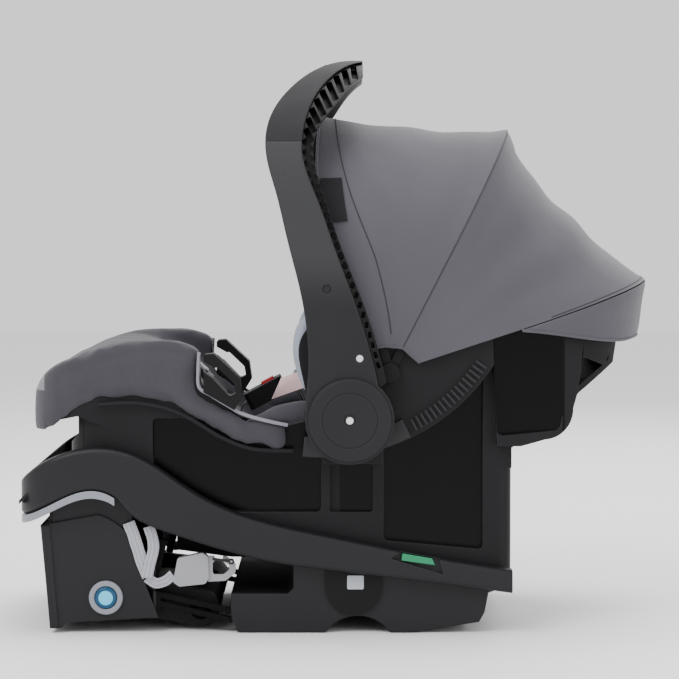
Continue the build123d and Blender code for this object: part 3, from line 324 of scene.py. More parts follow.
@dataclass(frozen=True)
class Finish:
    """A surface finish.

    Attributes:
        name: the material's name.
        surface: how it is built.
        colour: main colour, linear.
        roughness: the shader's roughness.
        grain: waves per metre of the finest texture.
        relief: depth of that texture in metres.
        rounding: radius to which sharp edges are shaded, in metres.
        variation: share by which the colour wanders.
        sheen: the shader's sheen weight.
        gloss: the shader's specular level, for plastic.
    """

    name: str
    surface: Surface
    colour: Colour
    roughness: float = 0.5
    grain: float = 1500.0
    relief: float = 0.00012
    rounding: float = 0.0015
    variation: float = 0.12
    sheen: float = 0.0
    gloss: float = 0.3

    def material(self) -> bpy.types.Material:
        """Makes the finish's material.

        Returns:
            The new material.
        """
        sheet = NodeSheet(self.name)
        makers: dict[Surface, Callable[[NodeSheet], None]] = {
            Surface.PLASTIC: self._plastic,
            Surface.CLOTH: self._cloth,
            Surface.WEBBING: self._webbing,
        }
        makers[self.surface](sheet)
        return sheet.material

    def _tones(self, sheet: NodeSheet, scale: float, detail: float = 3.0) -> bpy.types.NodeSocket:
        """The main colour, wandering a little over the surface."""
        low = tuple(c * (1 - self.variation) for c in self.colour)
        high = tuple(min(1.0, c * (1 + self.variation)) for c in self.colour)
        return sheet.mix(sheet.noise(scale, detail), low, high)

    def _rounded(self, sheet: NodeSheet) -> bpy.types.NodeSocket:
        """Normal with sharp edges rounded in the shading."""
        edge = sheet.add("ShaderNodeBevel", samples=4)
        edge.inputs["Radius"].default_value = self.rounding
        return edge.outputs[0]

    def _plastic(self, sheet: NodeSheet) -> None:
        """Moulded plastic: fine grain, soft edges, and edges painted lighter, part wear and part painted highlight."""
        edge_wear_highlight_gain, edge_wear_highlight_limit, edge_wear_highlight_lift = 2.0, 0.6, 0.02
        cloud_scale, patch_scale, shine_spread, grain_strength = 14.0, 35.0, 0.12, 0.5
        normal = self._rounded(sheet)
        geometry = sheet.add("ShaderNodeNewGeometry")
        turn = sheet.add("ShaderNodeVectorMath", operation="DOT_PRODUCT")
        sheet.join(normal, turn.inputs[0])
        sheet.join(geometry.outputs["Normal"], turn.inputs[1])
        # painted highlight and wear: the colour is lightened at edges, where the rounded normal turns away from the
        # true one
        edge_wear_and_highlight = sheet.math("MULTIPLY", sheet.math("SUBTRACT", 1.0, turn.outputs["Value"]), edge_wear_highlight_gain)
        edge_wear_and_highlight = sheet.math("MINIMUM", edge_wear_and_highlight, edge_wear_highlight_limit)
        edge_wear_and_highlight_colour = tuple(min(1.0, c * LIGHTENING_GAIN + edge_wear_highlight_lift) for c in self.colour)
        sheet.join(sheet.mix(edge_wear_and_highlight, self._tones(sheet, cloud_scale), edge_wear_and_highlight_colour), sheet.shader.inputs["Base Color"])
        patch = sheet.noise(patch_scale, 3.0)
        shine = sheet.math("MULTIPLY_ADD", patch, shine_spread, self.roughness - shine_spread / 2)
        sheet.join(shine, sheet.shader.inputs["Roughness"])
        grain = sheet.noise(self.grain, 1.0)
        sheet.join(sheet.bump(grain, grain_strength, self.relief, normal), sheet.shader.inputs["Normal"])
        sheet.set(Specular_IOR_Level=self.gloss)

    def _cloth(self, sheet: NodeSheet) -> None:
        """Woven cloth: crossing yarns on all three planes, mottled colour and a soft sheen."""
        yarns = []
        for letter in "XYZ":
            wave = sheet.math("MULTIPLY", sheet.axis(letter), self.grain)
            yarns.append(sheet.math("SINE", wave, 0.0))
        crossing = sheet.math("ADD", sheet.math("ADD", yarns[0], yarns[1]), yarns[2])
        self._woven(sheet, sheet.math("MULTIPLY_ADD", crossing, 0.1667, 0.5), PAD_WEAVE)

    def _woven(self, sheet: NodeSheet, weave: bpy.types.NodeSocket, look: ClothLook) -> None:
        """Dresses the shader as cloth.

        Args:
            sheet: the material's node sheet.
            weave: the yarns' height, from 0 to 1.
            look: the weave's numbers.
        """
        slub = sheet.math("MULTIPLY", sheet.noise(look.slub_scale, 2.0), 1 - look.weave_share)
        tone = sheet.math("MULTIPLY_ADD", weave, look.weave_share, slub)
        shaded = sheet.add("ShaderNodeMix", data_type="RGBA", blend_type="MULTIPLY")
        shaded.inputs[0].default_value = look.shade_share
        sheet.join(self._tones(sheet, look.cloud_scale, look.cloud_detail), shaded.inputs[6])
        sheet.join(sheet.mix(tone, (look.shade_low,) * 3, (look.shade_high,) * 3), shaded.inputs[7])
        sheet.join(shaded.outputs[2], sheet.shader.inputs["Base Color"])
        creases = sheet.noise(look.crease_scale, look.crease_detail)
        creased = sheet.bump(creases, look.crease_strength, look.crease_depth)
        sheet.join(sheet.bump(tone, look.yarn_strength, self.relief, creased), sheet.shader.inputs["Normal"])
        sheet.set(Roughness=self.roughness, Sheen_Weight=self.sheen, Sheen_Roughness=look.sheen_roughness,
                  Specular_IOR_Level=look.gloss)

    def _webbing(self, sheet: NodeSheet) -> None:
        """Flat webbing: herringbone ribs across the strap's width and lengthwise yarns, on the strap's UV."""
        turn_width, yarn_waves, yarn_share, rib_strength = 0.0045, 1500.0, 0.45, 0.7
        shade_low, shade_high = 0.6, 1.25
        across = sheet.axis("X", "UV")
        along = sheet.axis("Y", "UV")
        lean = sheet.math("PINGPONG", across, turn_width)
        wave = sheet.math("MULTIPLY", sheet.math("ADD", along, lean), self.grain)
        ribs = sheet.math("MULTIPLY_ADD", sheet.math("SINE", wave, 0.0), 0.5, 0.5)
        yarns = sheet.math("SINE", sheet.math("MULTIPLY", across, yarn_waves), 0.0)
        yarns = sheet.math("MULTIPLY_ADD", yarns, 0.5, 0.5)
        ribs = sheet.math("MULTIPLY_ADD", yarns, yarn_share, sheet.math("MULTIPLY", ribs, 1 - yarn_share))
        low = tuple(c * shade_low for c in self.colour)
        high = tuple(min(1.0, c * shade_high) for c in self.colour)
        sheet.join(sheet.mix(ribs, low, high), sheet.shader.inputs["Base Color"])
        sheet.join(sheet.bump(ribs, rib_strength, self.relief), sheet.shader.inputs["Normal"])
        sheet.set(Roughness=self.roughness, Sheen_Weight=self.sheen)


@dataclass(frozen=True)
class HandleFinish(Finish):
    """Handle plastic: a lighter cross-hatched zone on the upper arms and a part line above it."""

    zone_low: float = 0.385
    zone_high: float = 0.533
    zone_fade: float = 0.07
    hatch_lean: float = 0.35
    hatch_waves: tuple[float, float] = (2400.0, 1800.0)
    hatch_share: float = 0.35
    line_half: float = 0.0009

    def material(self) -> bpy.types.Material:
        """Makes the plastic, then lays the hatched zone over it.

        Returns:
            The new material.
        """
        sheet = NodeSheet(self.name)
        self._plastic(sheet)
        height = sheet.axis("Z")
        soft = sheet.band(height, self.zone_low, self.zone_high + 0.2, self.zone_fade)
        zone = sheet.math("MULTIPLY", soft, sheet.band(height, 0.0, self.zone_high, 0.001))
        sheet.repaint(zone, tuple(c * LIGHTENING_GAIN + 0.004 for c in self.colour))
        sway = sheet.math("ADD", height, sheet.math("MULTIPLY", sheet.axis("X"), self.hatch_lean))
        lines = sheet.math("SINE", sheet.math("MULTIPLY", sway, self.hatch_waves[0]), 0.0)
        cross = sheet.math("SINE", sheet.math("MULTIPLY", sheet.axis("X"), self.hatch_waves[1]), 0.0)
        hatch = sheet.math("MULTIPLY", sheet.math("ADD", lines, cross), sheet.math("MULTIPLY", zone, 0.5))
        groove = sheet.around(height, self.zone_high, self.line_half, 0.0006)
        relief = sheet.math("SUBTRACT", sheet.math("MULTIPLY", hatch, self.hatch_share), groove)
        normal = sheet.shader.inputs["Normal"].links[0].from_socket
        sheet.join(sheet.bump(relief, 0.8, 0.0005, normal), sheet.shader.inputs["Normal"])
        return sheet.material


@dataclass(frozen=True)
class ShellFinish(Finish):
    """Carrier shell plastic. The floors of its side recesses are painted glossy near-black: a polished finish with the
    recesses' shade painted in.
    """

    skirt_floor: float = 0.147
    wing_floor: float = 0.163
    pocket_floor: float = 0.150
    floor_half: float = 0.0006
    wing_span: Flat = (0.16, 0.27)
    pocket_span: Flat = (0.0, 0.06)

    def material(self) -> bpy.types.Material:
        """Makes the plastic, then the recess floors, glossy and darkened with painted shade.

        Returns:
            The new material.
        """
        sheet = NodeSheet(self.name)
        self._plastic(sheet)
        side = sheet.math("ABSOLUTE", sheet.axis("Y"), 0.0)
        low, high, pocket = (sheet.around(side, floor, self.floor_half, SHARP_EDGE)
                             for floor in (self.skirt_floor, self.wing_floor, self.pocket_floor))
        head = sheet.band(sheet.axis("X"), *self.wing_span, CRISP_EDGE)
        near_hub = sheet.band(sheet.axis("X"), *self.pocket_span, CRISP_EDGE)
        floor = sheet.math("ADD", low, sheet.math("MULTIPLY", high, head))
        floor = sheet.math("MINIMUM", sheet.math("ADD", floor, sheet.math("MULTIPLY", pocket, near_hub)), 1.0)
        # painted shade: the recess floors are painted near-black, darker than the plastic
        sheet.repaint(floor, RECESS_SHADE_BLACK, POLISH)
        return sheet.material


@dataclass(frozen=True)
class BaseFinish(Finish):
    """Base plastic. The rear housing's recess floor is painted glossy near-black, a polished finish with painted
    shade. The surfaces inside its front opening are painted dull near-black as painted shade.
    """

    recess_floor: float = 0.151
    recess_span: Flat = (0.056, 0.132)
    recess_half: float = 0.001
    opening_shade_skin: float = 0.1616
    opening_shade_start: float = -0.2
    opening_shade_end: float = -0.0455
    opening_shade_top: float = 0.112
    dulling: float = 1.2

    def material(self) -> bpy.types.Material:
        """Makes the plastic, then the glossy floor and the dull inner surfaces, both darkened with painted shade.

        Returns:
            The new material.
        """
        sheet = NodeSheet(self.name)
        self._plastic(sheet)
        side = sheet.math("ABSOLUTE", sheet.axis("Y"), 0.0)
        # painted shade: the rear recess floor is painted glossy near-black
        deep = sheet.around(side, self.recess_floor, self.recess_half, SHARP_EDGE)
        along = sheet.band(sheet.axis("X"), *self.recess_span, CRISP_EDGE)
        sheet.repaint(sheet.math("MULTIPLY", deep, along), RECESS_SHADE_BLACK, POLISH)
        # painted shade: surfaces inside the skin behind the front opening are painted dull near-black
        inside = sheet.band(side, 0.0, self.opening_shade_skin, SHARP_EDGE)
        window = sheet.band(sheet.axis("X"), self.opening_shade_start, self.opening_shade_end, CRISP_EDGE)
        low = sheet.band(sheet.axis("Z"), 0.0, self.opening_shade_top, CRISP_EDGE)
        inside = sheet.math("MULTIPLY", inside, sheet.math("MULTIPLY", window, low))
        sheet.repaint(inside, RECESS_SHADE_BLACK, self.dulling)
        return sheet.material


@dataclass(frozen=True)
class ButtonFinish(Finish):
    """Push button plastic: a bright middle inside a dark ring."""

    middle: Flat = (-0.254, 0.039)
    ring: float = 0.0078
    ring_colour: Colour = (0.006, 0.055, 0.12)

    def material(self) -> bpy.types.Material:
        """Makes the plastic, then its ring.

        Returns:
            The new material.
        """
        sheet = NodeSheet(self.name)
        self._plastic(sheet)
        sheet.repaint(sheet.band(sheet.radial(*self.middle), self.ring, 1.0, 0.0008), self.ring_colour)
        return sheet.material


@dataclass(frozen=True)
class FastenerFinish(Finish):
    """Dark fasteners with painted glints: a light spot painted in the middle of each screw and rivet, and dark
    everywhere else.
    """

    # centres of the painted glints, in X and Z
    bright: tuple[Flat, ...] = ((0.011, 0.236), (0.0215, 0.302))
    radius: float = 0.0038
    seat_colour: Colour = (0.008, 0.008, 0.009)

    def material(self) -> bpy.types.Material:
        """Makes plastic in the glints' light colour, then darkens everything outside the painted glints.

        Returns:
            The new material.
        """
        sheet = NodeSheet(self.name)
        self._plastic(sheet)
        # painted glints: light spots at the fastener centres, with the rest repainted dark
        glint_spots = [sheet.band(sheet.radial(*spot), -1.0, self.radius, 0.0006) for spot in self.bright]
        dark = sheet.math("SUBTRACT", 1.0, sheet.math("ADD", glint_spots[0], glint_spots[1]))
        sheet.repaint(dark, self.seat_colour)
        return sheet.material


@dataclass(frozen=True)
class PadFinish(Finish):
    """Pad cloth with a painted highlight: a pale band across its foot-end edge."""

    highlight_band: tuple[float, float] = (0.263, 0.279)
    highlight_end: float = -0.3225
    highlight_edge: float = 0.0015
    highlight_colour: Colour = (0.17, 0.17, 0.19)

    def material(self) -> bpy.types.Material:
        """Makes the cloth, then its painted highlight band.

        Returns:
            The new material.
        """
        sheet = NodeSheet(self.name)
        self._cloth(sheet)
        # painted highlight: a pale band of light painted across the pad's foot-end edge
        level = sheet.band(sheet.axis("Z"), *self.highlight_band, self.highlight_edge)
        end = sheet.band(sheet.axis("X"), -1.0, self.highlight_end, self.highlight_edge)
        sheet.repaint(sheet.math("MULTIPLY", level, end), self.highlight_colour)
        return sheet.material


@dataclass(frozen=True)
class SewnCloth(Finish):
    """Canopy cloth on its own UV map: U runs across from the front edge and V along the arch, in metres."""

    def material(self) -> bpy.types.Material:
        """Makes the cloth with a fine plain weave that follows the panel.

        Returns:
            The new material.
        """
        sheet = NodeSheet(self.name)
        waves = []
        for letter in "XY":
            waves.append(sheet.math("SINE", sheet.math("MULTIPLY", sheet.axis(letter, "UV"), self.grain), 0.0))
        weave = sheet.math("MULTIPLY_ADD", sheet.math("MULTIPLY", waves[0], waves[1]), 0.5, 0.5)
        self._woven(sheet, weave, HOOD_WEAVE)
        return sheet.material


class Palette:
    """Every finish of the seat, made once and handed out by name."""

    def __init__(self) -> None:
        """Makes the materials."""
        plastic, cloth, web = Surface.PLASTIC, Surface.CLOTH, Surface.WEBBING
        finishes: list[Finish] = [
            BaseFinish("base_plastic", plastic, (0.0095, 0.0095, 0.011), 0.42, rounding=0.0022, gloss=0.22),
            ShellFinish("shell_plastic", plastic, (0.0095, 0.0095, 0.0105), 0.42, rounding=0.002, gloss=0.12),
            HandleFinish("handle_plastic", plastic, (0.015, 0.015, 0.0165), 0.6, rounding=0.004, gloss=0.14),
            Finish("dark_plastic", plastic, (0.004, 0.004, 0.0045), 0.5, gloss=0.16),
            Finish("trim_grey", plastic, (0.20, 0.21, 0.235), 0.30),
            Finish("pale_window", plastic, (0.36, 0.38, 0.42), 0.20, rounding=0.0005),
            Finish("connector_grey", plastic, (0.27, 0.27, 0.29), 0.32, rounding=0.001),
            Finish("green_plastic", plastic, (0.010, 0.19, 0.085), 0.30),
            ButtonFinish("blue_plastic", plastic, (0.09, 0.52, 0.78), 0.25),
            Finish("red_plastic", plastic, (0.36, 0.01, 0.015), 0.30),
            # the light colour is the painted glints' colour; the rest of the fasteners is repainted dark
            FastenerFinish("steel", plastic, (0.62, 0.63, 0.65), 0.32, 900.0, 0.00005, 0.0006),
            Finish("rubber", plastic, (0.005, 0.005, 0.005), 0.75, 800.0, 0.0002),
            Finish("grip_rubber", plastic, (0.013, 0.013, 0.0145), 0.6, 900.0, 0.0002, 0.0008),
            Finish("grey_webbing", web, (0.33, 0.33, 0.37), 0.75, 3500.0, 0.0003, sheen=0.2),
            Finish("black_webbing", web, (0.012, 0.012, 0.014), 0.7, 3500.0, 0.0003, sheen=0.15),
            PadFinish("pad_fabric", cloth, (0.043, 0.041, 0.050), 0.85, 4200.0, 0.00025, variation=0.16, sheen=0.18),
            Finish("lining_fabric", cloth, (0.27, 0.29, 0.35), 0.85, 3600.0, 0.0003, variation=0.06, sheen=0.2),
            SewnCloth("canopy_fabric", cloth, (0.066, 0.062, 0.075), 0.75, 5200.0, 0.0002, variation=0.08, sheen=0.16),
            # darker cloth for the canopy's seam lines: seams with the folds' shade painted in
            SewnCloth("canopy_seam_shade", cloth, (0.026, 0.025, 0.030), 0.8, 5200.0, 0.0002, variation=0.07, sheen=0.1),
            Finish("tag_fabric", cloth, (0.78, 0.55, 0.56), 0.8, 4200.0, 0.0001, variation=0.05),
            Finish("foam_grey", cloth, (0.06, 0.06, 0.065), 0.95, 1500.0, 0.0004),
            Finish("dark_binding", cloth, (0.010, 0.010, 0.012), 0.8, 5000.0, 0.0002),
            Finish("pale_piping", cloth, (0.22, 0.22, 0.25), 0.8, 5000.0, 0.0002),
        ]
        self._made = {finish.name: finish.material() for finish in finishes}

    def __getitem__(self, name: str) -> bpy.types.Material:
        """The material of that name."""
        return self._made[name]


# ---------------------------------------------------------------- workshop
def alone(piece: bpy.types.Object) -> None:
    """Deselects everything, then selects one object and makes it active."""
    bpy.ops.object.select_all(action="DESELECT")
    piece.select_set(True)
    bpy.context.view_layer.objects.active = piece


def finish_modifier(piece: bpy.types.Object, kind: str, **settings: object) -> None:
    """Adds a modifier to a piece and applies it.

    Args:
        piece: the object.
        kind: the modifier's type.
        settings: the modifier's properties.
    """
    alone(piece)
    modifier = piece.modifiers.new(kind.title(), kind)
    for key, value in settings.items():
        setattr(modifier, key, value)
    bpy.ops.object.modifier_apply(modifier=modifier.name)


def settle(piece: bpy.types.Object, name: str, material: bpy.types.Material | None = None,
           smooth: float = 40.0) -> bpy.types.Object:
    """Applies a piece's place to its mesh, names it, gives it a material and smooth shading.

    Args:
        piece: the object.
        name: its final name.
        material: its only material, or None to keep what it has.
        smooth: edges sharper than this many degrees stay sharp.

    Returns:
        The same object.
    """
    alone(piece)
    bpy.ops.object.transform_apply(location=True, rotation=True, scale=True)
    bpy.ops.object.shade_smooth_by_angle(angle=math.radians(smooth))
    piece.name = name
    piece.data.name = name
    if material is not None:
        piece.data.materials.clear()
        piece.data.materials.append(material)
    return piece


def mesh_piece(name: str, points: Sequence[Point], faces: Sequence[Sequence[int]]) -> bpy.types.Object:
    """An object from points and faces, for sheets and straps.

    Args:
        name: the object's name.
        points: its vertices.
        faces: its faces, as vertex numbers.

    Returns:
        The new object.
    """
    mesh = bpy.data.meshes.new(name)
    mesh.from_pydata([tuple(p) for p in points], [], [list(f) for f in faces])
    mesh.update()
    piece = bpy.data.objects.new(name, mesh)
    bpy.context.scene.collection.objects.link(piece)
    return piece


def grid_faces(rows: int, columns: int) -> list[tuple[int, int, int, int]]:
    """Four-sided faces of a sheet whose points are listed row by row."""
    wide = columns + 1
    return [(k * wide + j, k * wide + j + 1, (k + 1) * wide + j + 1, (k + 1) * wide + j)
            for k in range(rows) for j in range(columns)]


def mend(piece: bpy.types.Object, weld: float = 0.0, outward: bool = True) -> None:
    """Cleans a mesh in edit mode.

    Args:
        piece: the object.
        weld: points closer than this are joined, if it is above 0.
        outward: whether the normals are made to point outwards.
    """
    alone(piece)
    bpy.ops.object.mode_set(mode="EDIT")
    bpy.ops.mesh.select_all(action="SELECT")
    if weld:
        bpy.ops.mesh.remove_doubles(threshold=weld)
    if outward:
        bpy.ops.mesh.normals_make_consistent(inside=False)
    bpy.ops.object.mode_set(mode="OBJECT")


def merged(pieces: Iterable[bpy.types.Object], name: str) -> bpy.types.Object:
    """Joins objects into one.

    Args:
        pieces: the objects, all meshes.
        name: the result's name.

    Returns:
        The joined object.
    """
    group = list(pieces)
    bpy.ops.object.select_all(action="DESELECT")
    for piece in group:
        piece.select_set(True)
    bpy.context.view_layer.objects.active = group[0]
    if len(group) > 1:
        bpy.ops.object.join()
    group[0].name = name
    return group[0]


def tube(name: str, points: Sequence[Point], radius: float, material: bpy.types.Material,
         closed: bool = False) -> bpy.types.Object:
    """A round piping or wire along smooth points, as a mesh.

    Args:
        name: the object's name.
        points: points that the line runs near.
        radius: its radius.
        material: its finish.
        closed: whether the line closes on itself.

    Returns:
        The new mesh object.
    """
    curve = bpy.data.curves.new(name, "CURVE")
    curve.dimensions = "3D"
    curve.bevel_depth = radius
    curve.bevel_resolution = 3
    curve.resolution_u = 3
    spline = curve.splines.new("NURBS")
    spline.points.add(len(points) - 1)
    for place, point in zip(spline.points, points):
        place.co = (*point, 1.0)
    spline.order_u = 3
    spline.use_endpoint_u = not closed
    spline.use_cyclic_u = closed
    curve.use_fill_caps = True
    piece = bpy.data.objects.new(name, curve)
    bpy.context.scene.collection.objects.link(piece)
    alone(piece)
    bpy.ops.object.convert(target="MESH")
    piece = bpy.context.view_layer.objects.active
    return settle(piece, name, material)


def side_line(points: Sequence[Flat], y: float) -> list[Point]:
    """Side-plane points in millimetres, placed at a Y in metres."""
    return [(x / 1000, y, z / 1000) for x, z in points]


def smooth_line(points: Sequence[Flat], steps: int) -> list[Flat]:
    """Points evenly spaced along a smooth line through the given ones.

    Args:
        points: points in a plane.
        steps: how many intervals the result has.

    Returns:
        steps + 1 points.
    """
    ends = [points[0], *points, points[-1]]
    fine: list[Flat] = []
    for k in range(1, len(ends) - 2):
        a, b, c, d = ends[k - 1], ends[k], ends[k + 1], ends[k + 2]
        for j in range(16):
            t = j / 16
            fine.append(tuple(
                0.5 * (2 * b[i] + (c[i] - a[i]) * t + (2 * a[i] - 5 * b[i] + 4 * c[i] - d[i]) * t * t
                       + (3 * b[i] - a[i] - 3 * c[i] + d[i]) * t ** 3)
                for i in (0, 1)))
    fine.append(tuple(points[-1]))
    lengths = [0.0]
    for p, q in zip(fine, fine[1:]):
        lengths.append(lengths[-1] + math.dist(p, q))
    result: list[Flat] = []
    spot = 0
    for k in range(steps + 1):
        goal = lengths[-1] * k / steps
        while spot < len(lengths) - 2 and lengths[spot + 1] < goal:
            spot += 1
        span = max(lengths[spot + 1] - lengths[spot], 1e-9)
        t = min(1.0, (goal - lengths[spot]) / span)
        p, q = fine[spot], fine[spot + 1]
        result.append((p[0] + (q[0] - p[0]) * t, p[1] + (q[1] - p[1]) * t))
    return result


def ribbon(name: str, line: Sequence[Flat], y_start: float, y_end: float, width: float, thickness: float,
           material: bpy.types.Material, steps: int = 90, lift: float = 0.0) -> bpy.types.Object:
    """A strap that follows a side line, its width across Y, with UV in metres.

    Args:
        name: the object's name.
        line: side-plane points in millimetres.
        y_start: Y of the strap's middle at its first point, in metres.
        y_end: Y of the strap's middle at its last point.
        width: strap width.
        thickness: strap thickness.
        material: its finish.
        steps: intervals along the strap.
        lift: height of the strap's crown across its width.

    Returns:
        The strap.
    """
    path = smooth_line(line, steps)
    across = 9
    points: list[Point] = []
    for k, (x, z) in enumerate(path):
        share = k / steps
        middle = y_start + (y_end - y_start) * share
        for j in range(across):
            t = j / (across - 1)
            crown = lift * (1 - (2 * t - 1) ** 2)
            points.append((x / 1000, middle + (t - 0.5) * width, z / 1000 + crown))
    piece = mesh_piece(name, points, grid_faces(steps, across - 1))
    length = sum(math.dist(p, q) for p, q in zip(path, path[1:])) / 1000
    layer = piece.data.uv_layers.new(name="strap")
    for loop in piece.data.loops:
        row, column = divmod(loop.vertex_index, across)
        layer.data[loop.index].uv = (column / (across - 1) * width, row / steps * length)
    finish_modifier(piece, "SOLIDIFY", thickness=thickness, offset=0.0)
    finish_modifier(piece, "BEVEL", width=thickness * 0.3, segments=2)
    return settle(piece, name, material)


def cad_copy(frame: dict, nodes: Sequence[str], name: str) -> bpy.types.Object:
    """A merged copy of CAD nodes' meshes, to be shaped further.

    Args:
        nodes: names of the nodes.
        name: the copy's name.

    Returns:
        The copy.
    """
    copies = []
    for node in nodes:
        mesh = frame["nodes"][node].data.copy()
        mesh.materials.clear()
        copy = bpy.data.objects.new(name, mesh)
        bpy.context.scene.collection.objects.link(copy)
        copies.append(copy)
    piece = merged(copies, name)
    mend(piece, WELD, outward=False)
    return piece


def rest_positions(piece: bpy.types.Object) -> list[Vector]:
    """Copies of a mesh's vertex positions."""
    return [v.co.copy() for v in piece.data.vertices]


def stuffed(piece: bpy.types.Object, voxel: float, pressure: float, cap: float, shrink: float) -> None:
    """Turns a closed mesh into a padded form: remeshed, softened, blown up as cloth and held near its start.

    Args:
        piece: the object, changed in place.
        voxel: remesh size.
        pressure: cloth pressure.
        cap: furthest that any point may move.
        shrink: how far the start lies inside the solid.
    """
    finish_modifier(piece, "REMESH", mode="VOXEL", voxel_size=voxel)
    finish_modifier(piece, "SMOOTH", factor=0.5, iterations=6)
    finish_modifier(piece, "DISPLACE", strength=-shrink, mid_level=0.0)
    stiffness, bending, frames = 12, 0.6, 20
    start = rest_positions(piece)
    scene = bpy.context.scene
    alone(piece)
    cloth = piece.modifiers.new("Cloth", "CLOTH")
    cloth.settings.use_pressure = True
    cloth.settings.uniform_pressure_force = pressure
    cloth.settings.quality = 4
    cloth.settings.tension_stiffness = stiffness
    cloth.settings.compression_stiffness = stiffness
    cloth.settings.bending_stiffness = bending
    cloth.settings.effector_weights.gravity = 0
    cloth.point_cache.frame_start = 1
    cloth.point_cache.frame_end = frames
    for step in range(1, frames + 1):
        scene.frame_set(step)
    graph = bpy.context.evaluated_depsgraph_get()
    blown = piece.evaluated_get(graph).data
    moved = [v.co.copy() for v in blown.vertices]
    piece.modifiers.remove(cloth)
    scene.frame_set(1)
    for vertex, old, new in zip(piece.data.vertices, start, moved):
        step_vector = new - old
        if step_vector.length > cap:
            step_vector *= cap / step_vector.length
        vertex.co = old + step_vector
    piece.data.update()


def carve(piece: bpy.types.Object, depth_at: Callable[[Vector], float]) -> None:
    """Moves each vertex inwards along its normal by the depth that a function gives for its place.

    Args:
        piece: the object.
        depth_at: depth in metres for a point; negative raises the surface.
    """
    for vertex in piece.data.vertices:
        depth = depth_at(vertex.co)
        if depth:
            vertex.co = vertex.co - vertex.normal * depth
    piece.data.update()


def ditch(distance: float, width: float, depth: float) -> float:
    """Depth of a sewn channel at a distance from its middle."""
    return depth * math.exp(-((distance / width) ** 2))


# ---------------------------------------------------------------- canopy
@dataclass(frozen=True)
class Station:
    """One cross-section of the canopy: an arch in a plane through the canopy's pivot.

    Attributes:
        lean: degrees from vertical, towards the head end.
        reach: distance from the pivot to the crown.
        leg: height of the straight sides.
        start: distance from the pivot at which the cloth begins.
        rise: degrees by which the edge's low end lies above its lean.
        rise_over: height over which that fades out.
    """

    lean: float
    reach: float
    leg: float
    start: float
    rise: float = 0.0
    rise_over: float = 0.115


class Hem(Enum):
    """How a panel's edge is finished."""

    BOUND = "bound"
    OPEN = "open"


